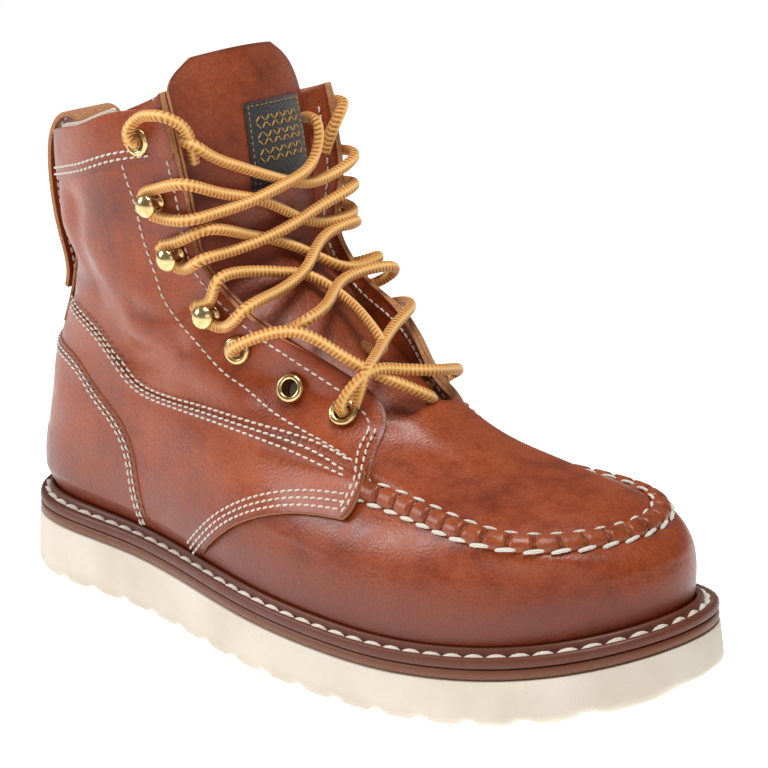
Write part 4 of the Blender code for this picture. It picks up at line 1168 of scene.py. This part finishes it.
border = [(row, edge, 0.0) for row in np.linspace(9.58, 11.37, 13) for edge in (-7.4, 22.4)]
border += [(edge, across, math.pi / 2) for across in np.linspace(-5.4, 20.4, 12) for edge in (9.56, 11.39)]
motif = [(row + 0.085 * way, across + 1.35 * side, way * side * -0.75) for row in (10.15, 10.55, 10.95)
         for across in (-2.5, 2.5, 7.5, 12.5, 17.5) for way in (-1, 1) for side in (-1, 1)]
count = stitched("label_motif", [label_stitches(border, 1.5, 0.22), label_stitches(motif, 2.9, 0.34)],
                 gold_thread)
print(count, "label stitches")

# %% [markdown]
# ## Pull loop
# A leather strap is sewn to the back, stands off it and turns in over the collar. Its sides are cut edges,
# so the pale fibre shows along them.

# %% Pull loop
LOOP_LINE = [(-133.4, 108.5), (-131.9, 114), (-132.2, 120), (-134.8, 129), (-137.6, 141), (-138.6, 153),
             (-138.2, 162), (-135.6, 170.2), (-130.8, 174.9), (-124.8, 175.0), (-121.0, 170.5), (-120.2, 161)]
LOOP_WIDTH, LOOP_THICK = 22.0, 2.2
loop_line = smooth_line(LOOP_LINE, 90)
loop_across = np.linspace(-LOOP_WIDTH / 2, LOOP_WIDTH / 2, 17)
loop_points = np.stack(np.broadcast_arrays(loop_line[:, :1], SIDE + loop_across, loop_line[:, 1:]), -1)
loop = add_piece("pull_strap", loop_points, grid_faces(90, 17), (leather, raw_edge),
                 ("pull_loop",), attributes={"edge": edge_distance(loop_points, ("back", "front"))})
thicken(loop, LOOP_THICK, 0.5)


def strap_stitches(edge):
    """Row of stitches along the strap, this far from its middle."""
    reach = reach_along(loop_line)
    at = np.arange(2.0, reach[-1] - 2, STITCH_PITCH)
    x, z = (np.interp(at, reach, loop_line[:, k]) for k in (0, 1))
    ahead = unit(np.stack([np.interp(at + 0.5, reach, loop_line[:, 0]) - x, 0 * at,
                           np.interp(at + 0.5, reach, loop_line[:, 1]) - z], -1))
    out = np.cross(np.array([0.0, 1.0, 0.0]), ahead)
    return capsules(np.stack([x, 0 * x + SIDE + edge, z], -1) + out * 0.1, ahead, out, 2.5, STITCH_THICK)


count = stitched("strap_stitching", [strap_stitches(edge) for edge in (-8.4, 8.4)])
print("strap is", round(reach_along(loop_line)[-1]), "mm long with", count, "stitches")

# %% [markdown]
# ## Eyelets and hooks
# Eyelets are rolled tubes with a rim on the face. Hooks here are domed studs on a stem, and the lace runs
# round the stem. Both are turned shapes: a profile of radius and height swung about the leather's outward
# direction.

# %% Sizes of the fittings
QUARTER_STEP, EDGE_STEP = 1.5, 2.1
GAP = 0.3
FITTINGS = [
    # name, place around on the outer side, row on the outer and on the inner side, layer under it
    ("eyelet_1", 0.363, 6.47, 6.47, QUARTER_STEP), ("eyelet_2", 0.338, 6.94, 6.94, QUARTER_STEP),
    ("eyelet_3", 0.308, 7.90, 7.90, QUARTER_STEP), ("hook_1", 0.306, 8.90, 8.90, QUARTER_STEP),
    ("hook_2", 0.316, 10.14, 10.14, QUARTER_STEP), ("hook_3", 0.313, 10.99, 10.95, QUARTER_STEP),
    ("eyelet_4", 0.303, 11.70, 11.46, EDGE_STEP)]
EYELET_PROFILE = [(2.9, -4.2), (2.9, 0.5), (3.05, 0.95), (3.4, 1.25), (3.9, 1.38), (4.4, 1.28), (4.85, 0.95),
                  (5.1, 0.5), (5.2, 0.0), (4.9, -0.2), (3.25, -0.2), (3.2, -4.2)]
HOOK_PROFILE = [(0.0, 9.4), (0.9, 9.33), (1.9, 9.05), (2.9, 8.5), (3.7, 7.85), (4.2, 7.3), (4.3, 6.95),
                (4.1, 6.65), (3.2, 6.45), (2.0, 6.4), (1.65, 6.1), (1.6, 1.4), (1.9, 1.0), (2.8, 0.75),
                (3.2, 0.45), (3.2, 0.0), (0.0, 0.0)]
HOLE_PROFILE = [(0, 6), (3.0, 6), (3.0, -8), (0, -8)]
print("eyelets are", 2 * max(radius for radius, _ in EYELET_PROFILE), "mm across")

# %% [markdown]
# ## Setting the fittings
# A flat foot sits on curved leather at the highest place under it. The profile is swung about the outward
# direction there, and each eyelet leaves the rings of its hole for later.

# %% Set the eyelets and hooks
def bearing_lift(around, row, step, reach):
    """Lift at which a flat foot clears the curved leather: the highest leather under it, plus a gap."""
    centre = upper_point(around, row, step)
    places = np.linspace(-0.03, 0.03, 25)
    face = upper_point(around + places[:, None], row + places[None, :] * 25, step) - centre
    under = np.linalg.norm(face, axis=-1) < reach + 1.2
    return step + 1.5 * GAP + max(0.0, float((face @ surface_normal(around, row))[under].max()))


def turned(profile, centre, out, sides):
    """Rings of the profile about the outward direction through the centre."""
    aside = unit(np.cross(out, [0.0, 0.0, 1.0]))
    other = np.cross(out, aside)
    angle = np.arange(sides) / sides * 2 * np.pi
    spoke = np.cos(angle)[:, None] * aside + np.sin(angle)[:, None] * other
    radius, height = np.array(profile, float).T
    return centre + spoke[None] * radius[:, None, None] + out * height[:, None, None]


def turned_piece(name, profile, centre, out, stands_for, sides=40):
    """Turned brass piece: a profile that starts on the axis ends in points, any other closes on itself."""
    rings = turned(profile, centre, out, sides)
    if profile[0][0] > 0:
        rings = np.concatenate([rings, rings[:1]])
    faces = grid_faces(len(rings), sides, True)[:, ::-1]
    face_outwards(add_piece(name, rings, faces, (brass,), stands_for).data, 1e-6)


# For each kind: the piece's name, its profile, the radius of its foot and how far it is sunk.
KINDS = {"eyelet": ("ring", EYELET_PROFILE, 5.2, 0.25), "hook": ("stud", HOOK_PROFILE, 3.2, 0.2)}
hole_rings = []
for name, around, outer_row, inner_row, step in FITTINGS:
    kind, profile, foot, sunk = KINDS[name.split("_")[0]]
    for side, place, row in (("outer", around, outer_row), ("inner", 1 - around, inner_row)):
        out = surface_normal(place, row)
        seat = upper_point(place, row, bearing_lift(place, row, step, foot) - sunk)
        turned_piece(f"{name}_{side}_{kind}", profile, seat, out, (f"{name}_{side}",))
        if kind == "ring":
            hole_rings.append(turned(HOLE_PROFILE, upper_point(place, row), out, 24))
print(2 * len(FITTINGS), "fittings,", len(hole_rings), "holes")

# %% [markdown]
# ## Eyelet holes
# The holes go right through the leather, so that an empty eyelet can be looked through. One cutter of
# eight short rods takes them all out with a Boolean, which comes between each sheet's thickness and its
# rounded edge.

# %% Punch the holes
cutter_mesh = bpy.data.meshes.new("hole_cutter")
rod_faces = grid_faces(4, 24, True)[:, ::-1]
cutter_mesh.from_pydata((np.concatenate([rings.reshape(-1, 3) for rings in hole_rings]) * MM).tolist(), [],
                        np.concatenate([rod_faces + 96 * k for k in range(len(hole_rings))]).tolist())
face_outwards(cutter_mesh, 1e-6)
cutter = bpy.data.objects.new("hole_cutter", cutter_mesh)
for piece in (shaft, band, facing_outer, facing_inner):
    holes = piece.modifiers.new("holes", "BOOLEAN")
    holes.operation = "DIFFERENCE"
    holes.solver = "EXACT"
    holes.object = cutter
    piece.modifiers.move(len(piece.modifiers) - 1, 1)
    bpy.context.view_layer.update()
    baked = bpy.data.meshes.new_from_object(piece.evaluated_get(bpy.context.evaluated_depsgraph_get()))
    piece.modifiers.clear()
    piece.data = baked
print("shaft has", len(shaft.data.polygons), "faces with its holes")

# %% [markdown]
# ## Sole
# The wedge is one block of blown rubber, deepest at the heel. Its wall leans in a little towards the top
# and its tread is a row of shallow waves.

# %% Wedge outsole
TREAD_PITCH, TREAD_DEPTH, SOLE_FLARE = 18.0, 1.5, 1.5


def tread(x):
    """Height over the lands: none on a land, then a smooth rise into the groove."""
    phase = np.abs(((x / TREAD_PITCH + 0.5) % 1.0) - 0.5) * TREAD_PITCH
    share = np.clip((phase - 4.2) / 3.2, 0, 1)
    return TREAD_DEPTH * share * share * (3 - 2 * share)


def ring_stack(name, levels, count, material, stands_for):
    """Closed block from rings of the sole's outline: inset, share of the wedge's height, rise, and tread."""
    around = np.arange(count) / count
    rings = []
    for inset, share, rise, relief in levels:
        plan = sole_ring(around, np.full(count, inset))
        low = spring(plan[:, 0])
        height = low + (wedge_top(plan[:, 0]) - low) * share + rise + relief * tread(plan[:, 0])
        rings.append(np.column_stack([plan, height]))
    return block(name, np.array(rings), material, stands_for)


def block(name, rings, material, stands_for):
    """Closed block from stacked rings, capped straight across from the outer to the inner side."""
    levels, count = rings.shape[:2]
    faces = grid_faces(levels, count, True).tolist()
    for base, upward in ((0, False), ((levels - 1) * count, True)):
        for j in range(count // 2):
            corners = [base + j, base + j + 1, base + (count - j - 1) % count, base + (count - j) % count]
            corners = list(dict.fromkeys(corners))
            faces.append(corners if upward else corners[::-1])
    piece = add_piece(name, rings, faces, (material,), stands_for)
    piece.data.set_sharp_from_angle(angle=math.radians(42))
    return piece


WEDGE_LEVELS = [
    # inset, share of the wedge's height, rise, share of the tread
    (1.4, 0, 0.2, 1), (0.2, 0, 0.15, 1), (-0.7, 0, 0.7, 1), (-1.2, 0, 1.6, 0.8), (-SOLE_FLARE, 0, 3.2, 0.5),
    (-1.2, 0.35, 1.0, 0.1), (-0.7, 0.7, 0, 0), (-0.3, 0.93, 0, 0), (0.0, 0.985, 0, 0), (0.6, 1, 0, 0)]
wedge = ring_stack("wedge_outsole", WEDGE_LEVELS, 480, cream_rubber, ("outsole",))
print("wedge has", len(wedge.data.polygons), "faces")

# %% [markdown]
# ## Midsole, welt and insole
# These lie on the wedge's top edge, so each is a plan with a height above it. The welt is one profile that
# runs from the sole's outline in to the upper: a rounded band, the stitches' groove, and the rib.

# %% Midsole, welt and insole
def above_wedge(plan, height):
    """Plan raised to this height above the wedge's top edge."""
    return np.concatenate([plan, (wedge_top(plan[..., 0]) + height)[..., None]], -1)


def feather(around, outward):
    """Plan of the upper's lower edge, moved outwards square to itself."""
    small = 0.001
    along = unit(last_surface(around + small, 0)[..., :2] - last_surface(around - small, 0)[..., :2])
    out = np.stack([along[..., 1], -along[..., 0]], -1)
    return last_surface(around, 0)[..., :2] + out * outward


fine_around = np.arange(480) / 480
MIDSOLE_LEVELS = [(1.4, 0.15), (0.5, 0.5), (0.15, 1.2), (0.1, 2.2), (0.3, 3.2), (0.7, 3.8),
                  (1.4, MIDSOLE_TOP)]
# Midsole edge: waxed and nearly even, paler than the welt.
midsole_leather = leather_finish("midsole_leather", "6a3a22", "9c6038", "b67a4c", 0.8, 0.06, 0.48)
midsole_rings = np.array([above_wedge(sole_ring(fine_around, np.full(480, inset)), np.full(480, height))
                          for inset, height in MIDSOLE_LEVELS])
block("leather_midsole", midsole_rings, midsole_leather, ("midsole",))

WELT_PROFILE = [
    # share of the way in to the upper, height above the wedge
    (0.08, 4.25), (0.01, 4.6), (-0.02, 5.4), (0.0, 6.6), (0.05, 7.4), (0.13, 7.9), (0.24, 8.1), (0.34, 7.9),
    (0.42, 7.35), (0.48, 6.95), (0.54, 7.0), (0.58, 7.7), (0.61, 8.9), (0.66, 9.9), (0.74, 10.4),
    (0.84, 10.5), (0.93, 10.1), (1.0, 8.6), (1.0, 4.25)]
welt_outline, welt_foot = sole_ring(fine_around, np.full(480, 0.3)), feather(fine_around, GAP + 0.1)
welt_rings = np.array([above_wedge(welt_outline + (welt_foot - welt_outline) * share, np.full(480, height))
                       for share, height in WELT_PROFILE + WELT_PROFILE[:1]])
welt_faces = grid_faces(len(WELT_PROFILE), 480, True).tolist()
last_ring = (len(WELT_PROFILE) - 1) * 480
welt_faces += [[last_ring + j, last_ring + (j + 1) % 480, (j + 1) % 480, j] for j in range(480)]
add_piece("grooved_welt", welt_rings[:-1], welt_faces, (welt_leather,), ("welt",))

insole_rings = np.array([above_wedge(feather(fine_around, -inset), np.full(480, height))
                         for inset, height in ((3.4, 4.3), (2.9, 5.0), (2.9, 7.6), (3.6, WELT_TOP))])
# Insole: plain vegetable-tanned leather, pale and dry.
insole_leather = fibre_finish("insole_leather", "a58562", "c9a880", 3.0)
block("leather_insole", insole_rings, insole_leather, ("insole",))
print("midsole, welt and insole made")

# %% [markdown]
# ## Welt stitches
# The thickest thread of the boot lies in the welt's groove. Each stitch is eight millimetres, laid a little
# aslant, and bulges between its two holes.

# %% Lockstitches of the welt
WELT_PITCH = 8.0


def welt_stitches():
    """Capsules on the groove's line, square to the sole's curve, turned a little inwards."""
    around = np.arange(4000) / 4000
    plan = sole_ring(around, np.full(4000, 0.3))
    plan = (plan + feather(around, GAP + 0.1)) / 2
    line = above_wedge(plan, np.full(4000, 7.45))
    closed = np.concatenate([line, line[:1]])
    reach = reach_along(closed)
    count = int(round(reach[-1] / WELT_PITCH))
    at = (np.arange(count) + 0.5) * reach[-1] / count
    centre = np.stack([np.interp(at, reach, closed[:, k]) for k in range(3)], -1)
    later = np.stack([np.interp((at + 1) % reach[-1], reach, closed[:, k]) for k in range(3)], -1)
    ahead = unit(later - centre)
    out = unit(np.array([0, 0, 1.0]) - ahead * ahead[:, 2:])
    inward = np.cross(out, ahead)
    return capsules(centre, unit(ahead + inward * 0.2), out, 8.3, 1.3, 0.8)


count = stitched("welt_lockstitching", [welt_stitches()])
print(count, "lockstitches of", WELT_PITCH, "mm")

# %% [markdown]
# ## Lace
# The lace is one long cord that zigzags up the throat, round the studs and through the eyelets. Each strand
# over the throat is a list of heights and distances from the middle line, bowed forward over the tongue.

# %% Strands over the throat
LACE_RADIUS = 2.3
STRANDS = {
    "bar": [(98, -23), (96.5, -10), (93.5, 9)],
    "rise_1": [(97.6, -24), (101.6, -11.7), (105.9, 5), (109, 22)],
    "fall_1": [(112.5, -33), (106.4, -25), (100.3, -20), (93.5, -9.7), (90.5, -2)],
    "rise_2": [(112.5, -25), (113.7, -11), (118, 12), (118, 39)],
    "fall_2": [(129.2, -39), (129.6, -27), (125.9, -12), (121.6, -0.5), (116.5, 2.5), (109.5, -0.5),
               (104, -4)],
    "rise_3": [(119, -39), (119.8, -22.5), (124.5, 0), (134.8, 20.6), (137, 39)],
    "fall_3": [(150.5, -39), (145, -19), (137.7, -4.5), (126.6, 10.3), (121.5, 20), (123, 39)],
    "rise_4": [(138.7, -42), (139.4, -32.6), (141.5, -13.5), (145.4, 2.6), (149.5, 19), (153.2, 40)],
    "fall_4": [(166.5, -44), (161.9, -31.7), (156.6, -13), (149.5, 2.3), (142, 18), (143, 39)],
    "rise_5": [(155, -42), (155.5, -35), (156.7, -21), (159.9, 0), (166, 17), (176, 22)],
    "fall_5": [(177.3, -35.6), (174.5, -32), (169.3, -22), (162.2, -4), (158.5, 9), (158, 24), (163, 42)],
}
# How far each strand lies above or below the others where they cross.
LAYER = {"bar": 1.6, "rise_1": 0.2, "fall_1": -0.9, "rise_2": 1.3, "fall_2": -0.8, "rise_3": 1.3,
         "fall_3": -0.8, "rise_4": 1.3, "fall_4": -0.8, "rise_5": 1.3, "fall_5": -0.8}
THROAT_LINE = [(-44, 198), (-40.5, 185), (-36.5, 168), (-34.8, 157), (-33, 137), (-26, 127.6), (-16, 120),
               (-1, 113.4), (10.6, 108), (22.8, 100), (29, 95.2), (34, 91.3)]
throat_edge = smooth_line(THROAT_LINE, 200)[::-1]
print(len(STRANDS), "strands cross the throat")

# %% [markdown]
# ## Route of the lace
# The strands are joined in the order in which one cord runs through them: from the inner top eyelet down
# to the front bar, and back up to the outer top eyelet.

# %% Route of the lace
def over_throat(height, across, lift):
    """Throat's edge at this height, moved across, and forward by a bow that is deepest in the middle."""
    heights = [height, height + 4, height - 4]
    x, after, before = np.interp(heights, throat_edge[:, 1], throat_edge[:, 0])
    out = unit(np.array([8.0, 0.0, before - after]))
    middle = 1 - (across / 42) ** 2
    return np.array([x, SIDE + across, height]) + out * (5.1 + 3.6 * middle + lift * max(0.0, middle))


def fitting(name, side):
    """Place around, row and step of a fitting on one side."""
    around, outer_row, inner_row, step = next(rest for first, *rest in FITTINGS if first == name)
    return (around, outer_row, step) if side == "outer" else (1 - around, inner_row, step)


def through(name, side, lifts):
    """Route points on an eyelet's axis at these lifts."""
    around, row, step = fitting(name, side)
    return [upper_point(around, row, step + lift) for lift in lifts]


def round_stem(name, side, first):
    """Half circle round a stud's stem, on the side away from the throat, from above (+1) or below (-1)."""
    around, row, step = fitting(name, side)
    centre = upper_point(around, row, step + LACE_RADIUS + 0.7)
    up = unit(upper_point(around, row + 0.1) - upper_point(around, row - 0.1))
    further = around - 0.002 if side == "outer" else around + 0.002
    away = unit(upper_point(further, row) - upper_point(around, row))
    return [centre + (up * math.cos(turn) * first + away * math.sin(turn)) * 4.7
            for turn in np.linspace(0, math.pi, 5)]


def strand(name, backwards=False):
    """Route points of one strand over the throat, from the outer side or towards it."""
    points = [over_throat(height, across, LAYER[name]) for height, across in STRANDS[name]]
    return points[::-1] if backwards else points


lace_route = (
    through("eyelet_4", "inner", (3.0, 0.0, -3.5)) + strand("rise_5", True)
    + round_stem("hook_3", "outer", -1) + strand("fall_4")
    + round_stem("hook_2", "inner", 1) + strand("rise_3", True)
    + round_stem("hook_1", "outer", -1) + strand("fall_2")
    + through("eyelet_3", "inner", (-4.5, 0.0, 4.5)) + strand("rise_1", True)
    + through("eyelet_1", "outer", (-4.5, 0.0, 4.8)) + strand("bar")
    + through("eyelet_1", "inner", (4.8, 0.0, -4.5)) + strand("fall_1", True)
    + through("eyelet_3", "outer", (4.8, 0.0, -4.5)) + strand("rise_2")
    + round_stem("hook_1", "inner", -1) + strand("fall_3", True)
    + round_stem("hook_2", "outer", 1) + strand("rise_4")
    + round_stem("hook_3", "inner", -1) + strand("fall_5", True)
    + through("eyelet_4", "outer", (-3.5, 0.0, 3.0)))
print("lace route of", len(lace_route), "points,", round(reach_along(np.array(lace_route))[-1]), "mm")

# %% [markdown]
# ## Lace finish
# Waxed polyester braid is golden brown with little shine. Its colour follows the height of the yarns: a
# painted highlight makes the spine pale, and painted shade darkens it between the ribs.

# %% Lace finish
lace_finish = new_material("braided_lace", 0.68, Sheen_Weight=0.25, Sheen_Roughness=0.4)
lace_yarn = add_node(lace_finish, "ShaderNodeAttribute", attribute_name="yarn").outputs["Fac"]
lace_place = add_node(lace_finish, "ShaderNodeTexCoord").outputs["Object"]
lace_fleck = noise(lace_finish, lace_place, 0.5, 2)
# Painted light: from painted shade between the ribs to a painted highlight on the spine.
LACE_SHADE_AND_HIGHLIGHT_TONES = [(0.05, "6b3a12"), (0.3, "b87327"), (0.65, "d6933c"), (1.0, "efc47c")]
lace_shade_and_highlight = ramp(lace_finish, lace_yarn, LACE_SHADE_AND_HIGHLIGHT_TONES)
lace_share = scaled(lace_finish, lace_fleck, 0.5, 0.75, 0.0, 0.3)
to_shader(lace_finish, Base_Color=blend(lace_finish, lace_share, lace_shade_and_highlight, "f3d29a"),
          Normal=bump(lace_finish, lace_fleck, 0.06))
print("lace finish:", lace_finish.name)

# %% [markdown]
# ## Lace geometry
# The braid is a tube with a smooth spine above and below and short slanting ribs on both sides, drawn
# about as coarse as the photograph shows them.

# %% Lace geometry
LACE_SIDES = 20
BRAID_PITCH = 1.7


def lace_mesh(name, route, stands_for, step=0.42, squash=0.82):
    """Rings round the spline through the route. Their radius is raised by a bell curve at the spine and by
    a cosine of the distance along the lace, slanted with the angle, at the ribs."""
    rough = smooth_line(route, 40 * len(route))
    count = int(reach_along(rough)[-1] / step)
    line = smooth_line(route, count)
    reach = reach_along(line)
    ahead = unit(np.gradient(line, axis=0))
    outward = line - np.stack([line[:, 0] * 0.4 - 55, np.full(count, SIDE), line[:, 2] - 25], -1)
    out = unit(outward - (outward * ahead).sum(1)[:, None] * ahead)
    across = np.cross(ahead, out)
    angle = np.arange(LACE_SIDES) / LACE_SIDES * 2 * np.pi
    from_top = np.abs(angle % np.pi - np.pi / 2)
    spine = np.exp(-(from_top / 0.4) ** 2)[None, :]
    rib = 0.5 + 0.5 * np.cos(2 * np.pi * reach[:, None] / BRAID_PITCH - 2.2 * from_top[None, :])
    # The yarn value is highest on the spine; the finish paints high values as highlight and low ones as
    # shade.
    yarn = spine + (1 - spine) * rib * 0.8
    radius = LACE_RADIUS - 0.34 + 0.34 * spine + 0.2 * rib * (1 - spine)
    points = (line[:, None] + across[:, None] * (radius * np.cos(angle))[..., None]
              + out[:, None] * (radius * np.sin(angle) * squash)[..., None])
    faces = grid_faces(count, LACE_SIDES, True)[:, ::-1].tolist()
    faces += [list(range(LACE_SIDES)), [(count - 1) * LACE_SIDES + i for i in range(LACE_SIDES)][::-1]]
    piece = add_piece(name, points, faces, (lace_finish,), stands_for, attributes={"yarn": yarn})
    face_outwards(piece.data)
    return piece, line, reach[-1]


lace, _, lace_length = lace_mesh("laced_cord", lace_route, ("laces",))
print("laced cord", round(lace_length), "mm,", len(lace.data.polygons), "faces")

# %% [markdown]
# ## Lace ends
# Both ends leave the top eyelets, pass round the edge of the facing and are tucked in behind it. They are
# the only free cord on the boot, so each is made as its own piece from its top eyelet, and its length is
# printed.

# %% Tucked lace ends
LACE_END = [(0.0, 0.0, 4.2), (0.0, 0.12, 4.8), (0.018, 0.25, 3.2), (0.037, 0.25, 3.3), (0.056, 0.22, 2.8),
            (0.068, 0.1, -2.6), (0.064, -0.1, -7.6), (0.052, -0.3, -9.6)]
for side in ("outer", "inner"):
    around, row, step = fitting("eyelet_4", side)
    way = 1 if side == "outer" else -1
    end_route = [upper_point(around + way * along, row + up, step + lift) for along, up, lift in LACE_END]
    end, end_line, end_length = lace_mesh(f"lace_end_{side}_braid", end_route, (f"lace_end_{side}",),
                                          squash=1.0)
    print(side, "end", round(end_length, 1), "mm")

# %% [markdown]
# ## Room and light
# The photograph is a product shot on white. A pale floor that glows a little gives that ground. One soft
# light from the left and one overhead shape the leather, and a weak one in front opens the shadows.

# %% Floor, world and lights
floor_mesh = bpy.data.meshes.new("floor")
FLOOR_HALF, FLOOR_DROP = 6.0, 0.0003
floor_corners = [(x * FLOOR_HALF, y * FLOOR_HALF, -FLOOR_DROP)
                 for x, y in ((-1, -1), (1, -1), (1, 1), (-1, 1))]
floor_mesh.from_pydata(floor_corners, [], [(0, 1, 2, 3)])
# Studio paper: matt white, a little self-lit so that it reads as plain white.
floor_finish = new_material("pale_floor", 0.9, Base_Color=(0.9, 0.9, 0.9, 1),
                            Emission_Color=(1.0, 1.0, 1.0, 1), Emission_Strength=0.66)
floor_mesh.materials.append(floor_finish)
floor = bpy.data.objects.new("floor", floor_mesh)
bpy.context.scene.collection.objects.link(floor)

world = bpy.data.worlds.new("studio")
bpy.context.scene.world = world
world.use_nodes = True
world.node_tree.nodes["Background"].inputs["Color"].default_value = (1.0, 1.0, 1.0, 1)
world.node_tree.nodes["Background"].inputs["Strength"].default_value = 0.2


def soft_light(name, place, size, watts):
    """Square light that faces the boot."""
    lamp = bpy.data.lights.new(name, "AREA")
    lamp.size = size
    lamp.energy = watts
    source = bpy.data.objects.new(name, lamp)
    bpy.context.scene.collection.objects.link(source)
    source.location = place
    source.rotation_euler = (Vector((0, 0, 0.08)) - Vector(place)).to_track_quat("-Z", "Y").to_euler()
    return source


soft_light("left", (-1.15, -0.9, 0.85), 0.6, 11)
soft_light("overhead", (0.2, -0.15, 1.35), 0.6, 15)
soft_light("front", (1.2, -0.9, 0.6), 0.7, 2.0)
bpy.context.scene.view_settings.view_transform = "Standard"
